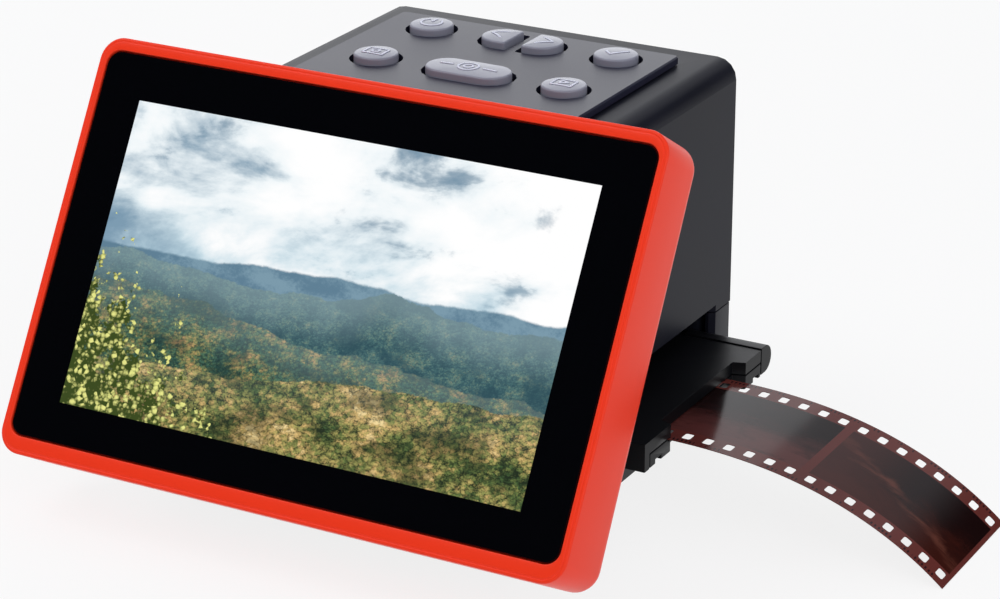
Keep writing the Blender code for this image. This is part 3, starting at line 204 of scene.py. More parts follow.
def grainFinish(name, colour, roughness, grain=2600.0, depth=0.25, spread=0.06, lighter=1.25, **fixed):
    # Moulded plastic: fine spark grain in the bump, and slow drifts of colour and gloss.
    finish = Finish(name, **fixed)
    point = finish.place()
    drift = finish.noise(point, grainLook["driftScale"], grainLook["detail"])
    fine = finish.noise(point, grain, grainLook["detail"], grainLook["fineRoughness"])
    share = drift.step(*grainLook["driftSpan"])
    finish.set("Base Color", finish.mix(share, colour, [c * lighter for c in colour]))
    finish.set("Roughness", roughness + drift.centred() * spread + fine.centred() * spread)
    finish.set("Normal", finish.bump(fine, depth, grainLook["height"]))
    return finish.material


# Meshes from arrays
def intoScene(name, mesh, material, smooth):
    # The mesh as an object with one finish, smooth up to an angle in degrees.
    mesh.materials.append(material)
    mesh.shade_smooth()
    mesh.set_sharp_from_angle(angle=math.radians(smooth))
    piece = bpy.data.objects.new(name, mesh)
    bpy.context.scene.collection.objects.link(piece)
    return piece


def newPiece(name, points, faces, material, smooth=35.0):
    # A mesh object at the origin: points n by 3, faces as rows of indices.
    mesh = bpy.data.meshes.new(name)
    mesh.from_pydata(points.tolist(), [], faces if isinstance(faces, list) else faces.tolist())
    return intoScene(name, mesh, material, smooth)


def gridFaces(rows, columns, aroundRows=False, aroundColumns=False):
    # Quads of a rows by columns grid of points, joined round where asked.
    i = np.arange(rows if aroundRows else rows - 1)[:, None]
    j = np.arange(columns if aroundColumns else columns - 1)[None, :]
    nextI, nextJ = (i + 1) % rows, (j + 1) % columns
    corners = [i * columns + j, i * columns + nextJ, nextI * columns + nextJ, nextI * columns + j]
    return np.stack([c + 0 * i + 0 * j for c in corners], axis=-1).reshape(-1, 4)


def outward(piece, within=0.000002):
    # Turns all faces outwards, and merges what lies in one place if a distance is given.
    bm = bmesh.new()
    bm.from_mesh(piece.data)
    if within:
        bmesh.ops.remove_doubles(bm, verts=bm.verts, dist=within)
    bmesh.ops.recalc_face_normals(bm, faces=bm.faces)
    bm.to_mesh(piece.data)
    bm.free()
    return piece


def welded(points, faces, within=0.000004):
    # Points of one place made one.
    _, first, index = np.unique(np.round(points / within), axis=0, return_index=True, return_inverse=True)
    return points[first], index.reshape(-1)[faces]


def bothSides(faces, count):
    # Faces of a sheet, their copies on its other side, and a rim along each edge that only one face has.
    ends = np.stack([faces, np.roll(faces, -1, axis=1)], axis=-1).reshape(-1, 2)
    keys, back = ends[:, 0] * count + ends[:, 1], ends[:, 1] * count + ends[:, 0]
    a, b = ends[~np.isin(keys, back)].T
    return np.vstack([faces, faces[:, ::-1] + count, np.column_stack([b, a, a + count, b + count])])


def mapOnto(piece, name, places):
    # A map layer in which each corner takes its own point's place.
    layer = piece.data.uv_layers.new(name=name)
    corners = np.empty(len(piece.data.loops), np.int32)
    piece.data.loops.foreach_get("vertex_index", corners)
    layer.data.foreach_set("uv", places[corners].astype(np.float32).ravel())


def seat(piece, node):
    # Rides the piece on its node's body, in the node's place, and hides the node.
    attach(piece, bodyOf[node])
    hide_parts(node)
    return piece


def dressNode(node, material):
    nodes[node].data.materials.clear()
    nodes[node].data.materials.append(material)


def dressedCopy(name, node, material, edge, smooth=35.0, within=0.000004, flatWithin=0.6):
    # The node's own solid, its loose triangles merged into flat faces and its edges broken.
    bm = bmesh.new()
    bm.from_mesh(nodes[node].data)
    bmesh.ops.remove_doubles(bm, verts=bm.verts, dist=within)
    bmesh.ops.dissolve_limit(bm, angle_limit=math.radians(flatWithin), verts=bm.verts, edges=bm.edges)
    mesh = bpy.data.meshes.new(name)
    bm.to_mesh(mesh)
    bm.free()
    piece = intoScene(name, mesh, material, smooth)
    bevel = piece.modifiers.new("edges", "BEVEL")
    bevel.width = edge
    bevel.segments = 2
    bevel.limit_method = "ANGLE"
    bevel.angle_limit = math.radians(smooth)
    bevel.harden_normals = True
    return seat(piece, node)


# Camera and light
cameraLook = {  # fitted to the photograph; the place is from bodyOrigin, the lens and sensor are in mm
    "azimuth": 28.81, "elevation": 21.90, "lens": 116.58, "sensor": 36.0, "clipStart": 0.01,
    "place": (0.32752, -0.62281, 0.29786),
}


def makeCamera(look):
    data = bpy.data.cameras.new("camera")
    data.lens = look["lens"]
    data.sensor_width = look["sensor"]
    data.clip_start = look["clipStart"]
    camera = bpy.data.objects.new("camera", data)
    bpy.context.scene.collection.objects.link(camera)
    camera.location = bodyOrigin + Vector(look["place"])
    camera.rotation_euler = (math.radians(90 - look["elevation"]), 0.0, math.radians(look["azimuth"]))
    bpy.context.scene.camera = camera


makeCamera(cameraLook)

studioLook = {
    "floorColour": (0.88, 0.88, 0.885),
    "floorWhite": 0.84,  # how far the floor goes to plain white; the rest keeps the shadow
    "floorRoughness": 0.8,
    "floorGloss": 0.1,
    "floorReach": 6.0,
    "world": 0.64,
    "tint": (0.925, 0.945, 1.0),  # cool room, as the greys of the housing show
    "cardLevel": 0.02,
    "cards": [  # direction, where it starts, where it is full: black cards for what mirrors them
        ((-0.447, -0.721, 0.530), 0.86, 0.95),  # the screen's glass
        ((0.520, 0.810, 0.260), 0.90, 0.965),  # the housing's rounded shoulder
    ],
    "lamps": [  # place, size, power
        ("keyLamp", (-0.70, -0.55, 1.30), 0.9, 6.5),
        ("fillLamp", (1.30, -0.70, 0.80), 0.9, 4.5),
        ("backLamp", (-0.66, 1.20, 0.56), 0.9, 2.1),
    ],
}


def seenWhite(finish):
    # Two shares: 1 for camera rays, and 1 for camera, glossy and transmission rays.
    path = finish.nodes.new("ShaderNodeLightPath")
    camera, glossy, through = (
        Wire(finish, path.outputs[name]) for name in ("Is Camera Ray", "Is Glossy Ray", "Is Transmission Ray")
    )
    return camera, camera.high(glossy).high(through)


class WorldFinish(Finish):
    # The same maths on the world's own nodes.

    def __init__(self, name):
        self.world = bpy.data.worlds.new(name)
        self.world.use_nodes = True
        self.nodes = self.world.node_tree.nodes
        self.links = self.world.node_tree.links
        self.shader = self.nodes["Background"]


def makeWorld(look):
    # Plain grey room, white to the camera, and to what mirrors it white but for the black cards.
    room = WorldFinish("studio")
    way = room.add("ShaderNodeTexCoord")
    cards = 1.0
    for direction, start, end in look["cards"]:
        toCard = Vector(direction).normalized()
        facing = room.add("ShaderNodeVectorMath", {"operation": "DOT_PRODUCT"}, way, toCard, out=1)
        cards = facing.step(start, end, 1.0, look["cardLevel"]) * cards
    camera, white = seenWhite(room)
    level = (white * (1.0 - look["world"]) + look["world"]) * cards
    room.set("Color", room.mix(camera, look["tint"], (1.0, 1.0, 1.0)))
    room.set("Strength", level.high(camera))
    bpy.context.scene.world = room.world


def makeFloor(look):
    # Pale ground, mixed with plain white for the rays that see it.
    floor = Finish("paleFloor", Roughness=look["floorRoughness"], Specular_IOR_Level=look["floorGloss"])
    floor.set("Base Color", look["floorColour"])
    glow = floor.add("ShaderNodeEmission", None, (1.0, 1.0, 1.0), 1.0)
    both = floor.nodes.new("ShaderNodeMixShader")
    floor.feed(both.inputs[0], seenWhite(floor)[1] * look["floorWhite"])
    floor.links.new(floor.shader.outputs[0], both.inputs[1])
    floor.links.new(glow.socket, both.inputs[2])
    floor.links.new(both.outputs[0], floor.nodes["Material Output"].inputs[0])
    corners = np.array([(-1.0, -1.0, 0.0), (1.0, -1.0, 0.0), (1.0, 1.0, 0.0), (-1.0, 1.0, 0.0)])
    newPiece("floor", corners * look["floorReach"], [(0, 1, 2, 3)], floor.material)


def makeStudio(look):
    makeWorld(look)
    for name, place, size, power in look["lamps"]:
        lamp = bpy.data.lights.new(name, "AREA")
        lamp.shape = "DISK"
        lamp.size = size
        lamp.energy = power
        obj = bpy.data.objects.new(name, lamp)
        bpy.context.scene.collection.objects.link(obj)
        obj.location = place
        obj.rotation_euler = (-obj.location).to_track_quat("-Z", "Y").to_euler()
    makeFloor(look)
    bpy.context.scene.view_settings.view_transform = "Standard"


makeStudio(studioLook)
print("camera and studio")

# Finishes
darkShell = grainFinish("darkShell", (0.0070, 0.0075, 0.0130), 0.38, Specular_IOR_Level=0.08)
darkShellMatt = grainFinish("darkShellMatt", (0.012, 0.0125, 0.018), 0.55, Specular_IOR_Level=0.10)
trayBlack = grainFinish("trayBlack", (0.0035, 0.0037, 0.0048), 0.36, Specular_IOR_Level=0.10)
plateGrey = grainFinish(
    "plateGrey", (0.016, 0.0165, 0.034), 0.34, grain=3400.0, depth=0.12, lighter=1.1, Specular_IOR_Level=0.19,
)
keySilver = grainFinish(
    "keySilver", (0.250, 0.256, 0.315), 0.22, grain=4200.0, depth=0.05, lighter=1.06, Specular_IOR_Level=0.26,
)
frameRed = grainFinish(
    "frameRed", (1.0, 0.046, 0.013), 0.34, grain=1900.0, depth=0.06, spread=0.04, lighter=1.0,
    Specular_IOR_Level=0.16,
)
legendWhite = grainFinish("legendWhite", (0.72, 0.735, 0.86), 0.45, lighter=1.03, Specular_IOR_Level=0.3)
innerBlack = grainFinish("innerBlack", (0.004, 0.004, 0.004), 0.6, Specular_IOR_Level=0.15)
footRubber = grainFinish(
    "footRubber", (0.012, 0.012, 0.012), 0.85, grain=1500.0, depth=0.5, Specular_IOR_Level=0.2,
)
milkyWhite = grainFinish("milkyWhite", (0.82, 0.82, 0.80), 0.5)


def makeSteel():
    # Rolled sheet: fine streaks along x, so many to the metre along and across.
    along, across = 40.0, 900.0
    finish = Finish("socketSteel", Metallic=1.0)
    x, y, z = finish.split(finish.place())
    streak = finish.noise(finish.join(x * along, y * across, z * across), 1.0, 3.0)
    finish.set("Base Color", finish.mix(streak, (0.50, 0.50, 0.52), (0.64, 0.64, 0.66)))
    finish.set("Roughness", 0.22 + streak * 0.2)
    return finish.material


def makeBoard():
    # Solder mask with copper tracks showing through it on a square lattice of this many lines to the metre.
    lattice, trackShare, wandering = 900.0, 0.28, 3.0
    finish = Finish("boardGreen")
    x, y, z = finish.split(finish.place(lattice))
    wander = finish.noise(finish.join(x, y, z), 0.35, 1.0)
    across, along = ((way + wander * wandering).fract() < trackShare for way in (x, y))
    track = across.high(along)
    finish.set("Base Color", finish.mix(track, (0.008, 0.070, 0.034), (0.016, 0.130, 0.060)))
    finish.set("Roughness", 0.34 + track * 0.1)
    finish.set("Normal", finish.bump(track, 0.3, 0.03 * mm))
    return finish.material


socketSteel = makeSteel()
boardGreen = makeBoard()
print("finishes")

# Housing, plate and everything whose solid is already its shape
dressed = [  # piece, node, finish, width of its broken edges, degrees up to which it is smooth
    ("upperHousing", "upper_housing", darkShell, 0.5 * mm, 35.0),
    ("baseHousing", "base_housing", darkShell, 0.5 * mm, 35.0),
    ("controlPlate", "control_plate", plateGrey, 0.3 * mm, 20.0),
    ("displayBackCover", "display_back_cover", darkShellMatt, 0.4 * mm, 35.0),
    ("filmTray", "film_tray", trayBlack, 0.3 * mm, 35.0),
    ("trayCover", "tray_cover", trayBlack, 0.3 * mm, 35.0),
    ("trayHingeBar", "tray_hinge_bar", trayBlack, 0.3 * mm, 35.0),
]
for row in dressed:
    dressedCopy(*row)

plainNodes = {
    "camera_shroud": innerBlack, "tray_guide": innerBlack, "lens_barrel": innerBlack,
    "light_box": milkyWhite, "diffuser": milkyWhite, "backlight_board": boardGreen,
    "sensor_board": boardGreen, "main_board": boardGreen, "key_board": boardGreen,
    "display_board": boardGreen, "usb_socket": socketSteel, "hdmi_socket": socketSteel,
    "card_socket": socketSteel, "lcd_module": socketSteel, "tray_hinge_pin": socketSteel,
}
for node, material in plainNodes.items():
    dressNode(node, material)
for node in nodes:
    for words, material in (("foot_", footRubber), ("base_screw_", socketSteel)):
        if node.startswith(words):
            dressNode(node, material)
print("shells and inner parts")

# Display: red frame and glass, worked out as rings of rounded rectangles
displayLook = {
    "tilt": math.radians(30.49), "width": 135.5 * mm, "height": 91.8 * mm, "depth": 18.9 * mm,
    "taper": 0.0358, "corner": 5.2 * mm, "backEdge": 4.5 * mm, "wall": 2.0 * mm, "backMargin": 6.5 * mm,
    "glassWidth": 131.2 * mm, "glassHeight": 84.6 * mm, "glassRaise": 0.55 * mm, "glassThick": 1.1 * mm,
    "glassSink": 0.3 * mm, "glassCorner": 3.0 * mm, "gap": 0.3 * mm, "ledge": 1.6 * mm,
    "ledgeThick": 1.4 * mm, "screenWidth": 110.5 * mm, "screenHeight": 66.3 * mm, "lip": 0.22 * mm,
    "edge": 0.5 * mm,
    "edgeSink": 0.02 * mm, "backCornerShare": 0.6, "glassEdge": 0.15 * mm, "glassMiddleShare": 0.02,
    "glassBackShare": 0.6,
    "bead": [  # the shallow dip that sets off the frame's outer bead, in mm: in from the edge, height
        (1.15, 0.0), (1.02, -0.02), (0.92, -0.10), (0.82, -0.13), (0.74, -0.08), (0.66, -0.03),
        (0.56, -0.02),
    ],
}


def displayPlace(look):
    # Middle of the display's front plane, and its ways up and out.
    up = Vector((0.0, math.sin(look["tilt"]), math.cos(look["tilt"])))
    out = Vector((0.0, -math.cos(look["tilt"]), math.sin(look["tilt"])))
    low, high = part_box("cover_glass")
    front = (low + high) / 2 + out * (look["glassSink"] + look["glassThick"] / 2) - up * look["glassRaise"]
    return front, up, out


displayMiddle, displayUp, displayOut = displayPlace(displayLook)


def roundedRing(halfWidth, halfHeight, radius, raised=0.0, cornerSteps=10, leastRadius=0.05 * mm):
    # Rounded rectangle, anticlockwise: each corner an arc about a centre set in by the radius.
    radius = max(radius, leastRadius)
    turn = np.linspace(0.0, math.pi / 2, cornerSteps + 1)
    angle = (np.arange(4)[:, None] * math.pi / 2 + turn[None, :]).ravel()
    side = np.array([[1, 1], [-1, 1], [-1, -1], [1, -1]]).repeat(cornerSteps + 1, axis=0)
    x = side[:, 0] * (halfWidth - radius) + radius * np.cos(angle)
    y = side[:, 1] * (halfHeight - radius) + radius * np.sin(angle) + raised
    return np.stack([x, y], axis=1)


def ontoDisplay(points, look, tapered=True):
    # Local across, up and out become places: the depth shrinks towards the top edge.
    across, upward, depth = points[..., 0], points[..., 1], points[..., 2]
    if tapered:
        depth = depth * (1.0 - look["taper"] * upward / look["depth"])
    ways = np.array([[1.0, 0.0, 0.0], list(displayUp), list(displayOut)])
    return np.stack([across, upward, depth], axis=-1) @ ways + np.array(displayMiddle)


def quarterTurn(step, first=0):
    # Angles up to a right angle, a step in degrees apart.
    return np.radians(np.arange(first, 91, step))


def ringStack(rings):
    # Rows of half width, half height, corner radius, raise and depth become rings of points.
    stack = []
    for halfWidth, halfHeight, radius, raised, depth in rings:
        ring = roundedRing(halfWidth, halfHeight, radius, raised)
        stack.append(np.column_stack([ring, np.full(len(ring), depth)]))
    return np.array(stack)


def makeDisplayFrame(look):
    # Closed section carried round the display: seat, band, bead, side, rounded back edge, then the inside.
    w, h, depth, corner = look["width"] / 2, look["height"] / 2, look["depth"], look["corner"]
    seatW, seatH = look["glassWidth"] / 2 + look["gap"], look["glassHeight"] / 2 + look["gap"]
    ledgeW, ledgeH = look["glassWidth"] / 2 - look["ledge"], look["glassHeight"] / 2 - look["ledge"]
    seatDepth = -(look["glassSink"] + look["glassThick"] + look["gap"])
    ledgeBack = seatDepth - look["ledgeThick"]
    raised, lip, edge = look["glassRaise"], look["lip"], look["edge"]
    seatCorner = look["glassCorner"] + look["gap"]
    ledgeCorner = seatCorner - look["ledge"]
    rings = [(ledgeW, ledgeH, ledgeCorner, raised, seatDepth), (seatW, seatH, seatCorner, raised, seatDepth)]
    for angle in quarterTurn(30):  # broken inner edge of the band
        grow = lip * (1 - math.cos(angle))
        rings.append((seatW + grow, seatH + grow, seatCorner + grow, raised, lip * (math.sin(angle) - 1)))
    rings += [(w - e * mm, h - e * mm, corner - e * mm, 0.0, z * mm) for e, z in look["bead"]]
    for angle in quarterTurn(15, 15):
        e = edge * (1 - math.sin(angle))
        rings.append((w - e, h - e, corner - e, 0.0, -look["edgeSink"] - edge * (1 - math.cos(angle))))
    back, backShare = look["backEdge"], look["backCornerShare"]
    for angle in quarterTurn(10):
        e = back * (1 - math.cos(angle))
        rings.append((w - e, h - e, corner - e * backShare, 0.0, -depth + back * (1 - math.sin(angle))))
    m, wall, openCorner = look["backMargin"], look["wall"], look["glassCorner"]
    rings += [
        (w - m, h - m, openCorner, 0.0, -depth), (w - m, h - m, openCorner, 0.0, -depth + wall),
        (w - wall, h - wall, corner - wall, 0.0, -depth + wall),
        (w - wall, h - wall, corner - wall, 0.0, ledgeBack),
        (ledgeW, ledgeH, ledgeCorner, raised, ledgeBack),
    ]
    grid = ontoDisplay(ringStack(rings), look)
    faces = gridFaces(grid.shape[0], grid.shape[1], True, True)
    piece = newPiece("displayFrame", grid.reshape(-1, 3), faces, frameRed, 50.0)
    return seat(outward(piece), "display_frame")


makeDisplayFrame(displayLook)


def crowns(finish, point, scale, tones, shade):
    # Tree crowns seen from afar: warped cells with a tone of their own, lit tops and dark gaps.
    warp = finish.noise(point, scale * 0.7, 3.0, 0.6)
    x, y = finish.split(point)[:2]
    bent = finish.join(x + warp.centred() * (2.2 / scale), y + warp.centred() * (1.6 / scale))
    near, kind = finish.cells(bent, scale)
    patch = finish.noise(point, scale * 0.09, 6.0, 0.68)
    leaf = finish.noise(point, scale * 2.4, 4.0, 0.75)
    tone = finish.add("ShaderNodeValToRGB", {"ramp": tones}, kind * 0.34 + patch.centred() * 2.3 + 0.30)
    light = (0.92 - near * 0.80) + leaf.centred() * 2.2 + patch.centred() * 1.2
    return finish.mix(light.step(0.0, 0.92), shade, tone)


pictureLook = {
    "glass": (0.0009, 0.0011, 0.0020), "skyLow": (0.50, 0.68, 0.77), "skyHigh": (0.84, 0.91, 0.94),
    "cloud": (1.0, 1.0, 1.0), "slate": (0.205, 0.330, 0.440), "deepSlate": (0.115, 0.215, 0.315),
    "ridgeShade": (0.115, 0.215, 0.300), "ridgeLit": (0.200, 0.325, 0.410), "mist": (0.36, 0.50, 0.55),
    "bushShade": (0.045, 0.070, 0.014), "bushLit": (0.80, 0.80, 0.26), "unlit": (0.0, 0.0, 0.0),
}
pictureNoise = {  # scale, detail, roughness, distortion
    "cloud": (2.1, 9.0, 0.54, 0.35), "puff": (5.2, 8.0, 0.60, 0.3), "fine": (75.0, 6.0, 0.75),
    "fold": (4.2, 7.0, 0.62, 0.5), "farLine": (1.5, 7.0, 0.48), "clump": (10.0, 6.0, 0.66),
}
coolTones = [
    (0.15, (0.040, 0.110, 0.125)), (0.42, (0.075, 0.170, 0.175)), (0.66, (0.125, 0.225, 0.190)),
    (0.90, (0.215, 0.265, 0.190)),
]
mixedTones = [
    (0.10, (0.040, 0.115, 0.090)), (0.34, (0.085, 0.185, 0.110)), (0.54, (0.190, 0.240, 0.095)),
    (0.72, (0.40, 0.32, 0.12)), (0.92, (0.56, 0.34, 0.14)),
]
warmTones = [
    (0.08, (0.070, 0.135, 0.045)), (0.30, (0.190, 0.240, 0.070)), (0.50, (0.42, 0.38, 0.12)),
    (0.70, (0.68, 0.46, 0.17)), (0.92, (0.90, 0.70, 0.33)),
]
woods = [  # height, swing, scale, shift, tilt, crown size, tones, gaps, haze: hills from far to near
    (0.485, 0.15, 1.7, 9.0, 0.05, 150.0, coolTones, (0.030, 0.078, 0.100), 0.40),
    (0.365, 0.15, 1.9, 17.0, -0.10, 105.0, mixedTones, (0.016, 0.040, 0.036), 0.20),
    (0.215, 0.12, 1.6, 23.0, 0.10, 62.0, warmTones, (0.018, 0.028, 0.014), 0.06),
]


def makeScreenFinish(look, tints, noises):
    # Black glass over a lit landscape: u and v run 0 to 1 over the lit part.
    finish = Finish("screenGlass", Roughness=0.05)
    finish.set("Specular IOR Level", 0.35)
    u, v = finish.uv("screenMap")
    inside = (u > 0.0) * (u < 1.0) * (v > 0.0) * (v < 1.0)
    wide = u * (look["screenWidth"] / look["screenHeight"])
    flat = finish.join(wide, v)
    # sky: pale blue, white cloud and slate banks that thicken to the left and lower down
    drawn = finish.join(wide * 0.85 - v * 0.25, v * 1.55)
    cloud = finish.noise(drawn, *noises["cloud"])
    puff = finish.noise(drawn, *noises["puff"])
    bank = cloud * 0.78 + puff * 0.22 + (0.62 - u) * 0.16 + (0.80 - v) * 0.10
    sky = finish.mix(v.step(0.48, 0.80), tints["skyLow"], tints["skyHigh"])
    sky = finish.mix(bank.step(0.455, 0.60), tints["cloud"], sky)
    sky = finish.mix(bank.step(0.54, 0.68), sky, tints["slate"])
    picture = finish.mix((puff.centred() * 1.2 + cloud).step(0.60, 0.80) * 0.55, sky, tints["deepSlate"])
    # the farthest ridge: a height line of slow noise, folds of shade under it
    fine = finish.noise(flat, *noises["fine"])
    fold = finish.noise(finish.join(wide + v * 0.9, v * 1.7 - wide * 0.3), *noises["fold"])
    line = finish.noise(finish.join(wide + 3.0, 3.0), *noises["farLine"])
    ridge = line.centred() * 0.20 + 0.555 + fine.centred() * 0.010
    far = finish.mix((fold * 0.7 + fine * 0.3).step(0.42, 0.58), tints["ridgeShade"], tints["ridgeLit"])
    picture = finish.mix((ridge - v).step(0.0, 0.010), picture, far)
    # wooded hills: blue-green crowns far off, then green in the shade and ochre in the sun
    for height, swing, scale, shift, tilt, size, tones, shade, haze in woods:
        line = finish.noise(finish.join(wide + shift, shift), scale, 5.0, 0.5)
        ridge = line.centred() * (2.0 * swing) + height + u.centred() * tilt + fine.centred() * 0.020
        wood = crowns(finish, finish.join(wide + shift, v * 1.3), size, tones, shade)
        wood = finish.mix((fold + puff.centred() * 0.5).step(0.50, 0.62) * 0.60, wood, shade)
        mist = (ridge - v).step(0.0, 0.17, haze, 0.0)
        picture = finish.mix((ridge - v).step(0.0, 0.005), picture, finish.mix(mist, wood, tints["mist"]))
    # a leafy bush at the bottom left, lit from behind
    clump = finish.noise(flat, *noises["clump"])
    leaves, sprig = finish.cells(flat, 70.0, 1)
    cover = clump.centred() * 1.5 + (0.15 - u) * 1.6 + (0.25 - v)
    cover = cover + sprig.centred() * 0.16 - leaves * 0.12
    lit = (sprig + fine.centred() * 1.6 - leaves * 0.8).step(0.0, 0.75)
    green = finish.mix(lit, tints["bushShade"], tints["bushLit"])
    picture = finish.mix(cover.step(0.0, 0.02), picture, green)
    finish.set("Base Color", tints["glass"])
    finish.set("Emission Color", finish.mix(inside, tints["unlit"], picture))
    finish.set("Emission Strength", 1.0)
    return finish.material


def makeGlass(look):
    # Slab with a broken front edge: rings from the middle of the front out, over the edge and behind.
    w, h, corner = look["glassWidth"] / 2, look["glassHeight"] / 2, look["glassCorner"]
    raised = look["glassRaise"]
    top, bevel = -look["glassSink"], look["glassEdge"]
    bottom = top - look["glassThick"]
    tiny, behind = look["glassMiddleShare"], look["glassBackShare"]
    stack = ringStack([
        (w * tiny, h * tiny, corner * tiny, raised, top), (w - bevel, h - bevel, corner - bevel, raised, top),
        (w, h, corner, raised, top - bevel), (w, h, corner, raised, bottom),
        (w * behind, h * behind, corner, raised, bottom), (w * tiny, h * tiny, corner * tiny, raised, bottom),
    ])
    rings, count = stack.shape[:2]
    faces = gridFaces(rings, count, False, True).tolist()
    faces += [list(range(count))[::-1], list(range((rings - 1) * count, rings * count))]
    places = ontoDisplay(stack, look, False).reshape(-1, 3)
    finish = makeScreenFinish(look, pictureLook, pictureNoise)
    glass = newPiece("screenGlass", places, faces, finish, 30.0)
    screen = np.array([look["screenWidth"], look["screenHeight"]])
    mapOnto(glass, "screenMap", stack.reshape(-1, 3)[:, :2] / screen + 0.5)
    return seat(outward(glass, None), "cover_glass")


makeGlass(displayLook)
print("display")

# Keys: parallel curves round a core, crowned on top
keyLook = {
    "radius": 4.95 * mm, "edge": 0.50 * mm, "dome": 0.34 * mm, "flange": 1.2 * mm, "flangeThick": 1.2 * mm,
    "longHalf": 5.10 * mm, "cutInner": 2.0 * mm, "cutOuter": 9.7 * mm, "cutCorner": 0.8 * mm,
    "flangeShare": 0.45, "crownRings": 9,
}


def roundCore(steps=64):
    # One point with a full circle of ways out.
    angle = np.linspace(0.0, 2 * math.pi, steps, endpoint=False)
    return np.zeros((steps, 2)), np.column_stack([np.cos(angle), np.sin(angle)])


def longCore(half, steps=64):
    # A line with a half circle of ways out at each end.
    _, ways = roundCore(steps)
    return np.column_stack([np.where(ways[:, 0] >= 0, half, -half), np.zeros(steps)]), ways


def cutCore(look, side, steps=24, cornerSteps=8):
    # A circle cut by a straight line on its inner side, all set in by the corner's radius.
    corner, radius = look["cutCorner"], look["radius"]
    inner = look["cutInner"] + corner
    middle = look["cutOuter"] - radius
    reach = radius - corner
    turn = np.linspace(-math.pi / 2, math.pi / 2, steps)
    arc = np.column_stack([middle + reach * np.cos(turn), reach * np.sin(turn)])
    arcWays = np.column_stack([np.cos(turn), np.sin(turn)])
    bend = np.linspace(math.pi / 2, math.pi, cornerSteps)
    top = np.tile([inner, reach], (cornerSteps, 1))
    topWays = np.column_stack([np.cos(bend), np.sin(bend)])
    bottomWays = np.column_stack([topWays[::-1, 0], -topWays[::-1, 1]])
    core = np.vstack([arc, top, top * (1, -1)])
    ways = np.vstack([arcWays, topWays, bottomWays])
    core[:, 0] -= (look["cutInner"] + look["cutOuter"]) / 2
    core[:, 0] *= side
    ways[:, 0] *= side
    return core, ways


def crownHeight(look, share):
    # Height below the crown's top at a share of the way out: a shallow bowl turned over.
    return -look["dome"] * share ** 2


def makeKey(node, core, ways, reach, look):
    # Rings from the crown's middle out, over the edge, down the side and under the flange.
    low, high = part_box(node)
    middle = (low + high) / 2
    edge, dome = look["edge"], look["dome"]
    flat = reach - edge
    rings = [(s, flat * s, crownHeight(look, s)) for s in np.linspace(0.0, 1.0, look["crownRings"])]
    for angle in quarterTurn(15, 15):
        rings.append((1.0, flat + edge * math.sin(angle), -dome - edge * (1 - math.cos(angle))))
    foot = low.z - high.z
    shoulder = foot + look["flangeThick"]
    flange = reach + look["flange"] * look["flangeShare"]
    rings += [(1.0, reach, shoulder), (1.0, flange, shoulder), (1.0, flange, foot), (0.0, 0.0, foot)]
    grid = np.array([np.column_stack([core * s + ways * r, np.full(len(core), z)]) for s, r, z in rings])
    grid += np.array([middle.x, middle.y, high.z])
    faces = gridFaces(grid.shape[0], grid.shape[1], False, True)
    name = node.split("_")[0] + "Key"
    return seat(outward(newPiece(name, grid.reshape(-1, 3), faces, keySilver, 40.0)), node)


def makeKeys(look):
    for node in ("power_key", "mode_key", "ok_key", "playback_key"):
        makeKey(node, *roundCore(), look["radius"], look)
    makeKey("capture_key", *longCore(look["longHalf"]), look["radius"], look)
    makeKey("left_key", *cutCore(look, -1), look["cutCorner"], look)
    makeKey("right_key", *cutCore(look, 1), look["cutCorner"], look)


makeKeys(keyLook)


def ribbon(points, width, closed=False):
    # A flat band of even width along a line of points: each side set off square to the line.
    points = np.asarray(points, float)
    if closed:
        way = np.roll(points, -1, axis=0) - np.roll(points, 1, axis=0)
    else:
        way = np.gradient(points, axis=0)
    way /= np.linalg.norm(way, axis=1)[:, None]
    square = np.column_stack([-way[:, 1], way[:, 0]]) * width / 2
    grid = np.stack([points + square, points - square])
    return grid.reshape(-1, 2), gridFaces(2, len(points), False, closed)


def arcPoints(radius, start, end, steps=24):
    angle = np.radians(np.linspace(start, end, steps))
    return radius * np.column_stack([np.cos(angle), np.sin(angle)])


def linePoints(*corners, steps=6):
    # Straight runs through the corners, with points between.
    corners = np.array(corners, float)
    runs = [np.linspace(a, b, steps, endpoint=False) for a, b in zip(corners[:-1], corners[1:])]
    return np.vstack(runs + [corners[-1:]])


legendLook = {"width": 0.56 * mm, "lift": 0.05 * mm, "thick": 0.05 * mm, "size": 2.4 * mm}


def boxPoints(half, high):
    return linePoints((-half, -high), (half, -high), (half, high), (-half, high), (-half, -high))[:-1]


def legendStrokes(half):
    # Marks of each key as lines of points, in shares of their half size; True closes a line.
    frameBox = boxPoints(half, half * 0.75)
    back, tip, tall = -half * 0.3, half * 0.45, half * 0.4
    play = linePoints((back, -tall), (tip, 0.0), (back, tall), (back, -tall))[:-1]
    return {
        "power_key": [
            (arcPoints(half, 125, 415), False), (linePoints((0.0, half * 0.1), (0.0, half * 1.15)), False),
        ],
        "mode_key": [(frameBox, True), (arcPoints(half * 0.36, 0, 345), True)],
        "capture_key": [
            (arcPoints(half * 0.95, 0, 345), True), (arcPoints(half * 0.42, 0, 345), True),
            (linePoints((half * 1.5, 0.0), (half * 2.9, 0.0)), False),
            (linePoints((-half * 2.9, 0.0), (-half * 1.5, 0.0)), False),
        ],
        "left_key": [(linePoints((half * 0.7, half), (-half * 0.75, 0.0), (half * 0.7, -half)), False)],
        "right_key": [(linePoints((-half * 0.7, half), (half * 0.75, 0.0), (-half * 0.7, -half)), False)],
        "ok_key": [(linePoints((-half, 0.0), (-half * 0.25, -half * 0.75), (half, half * 0.8)), False)],
        "playback_key": [(frameBox, True), (play, True)],
    }


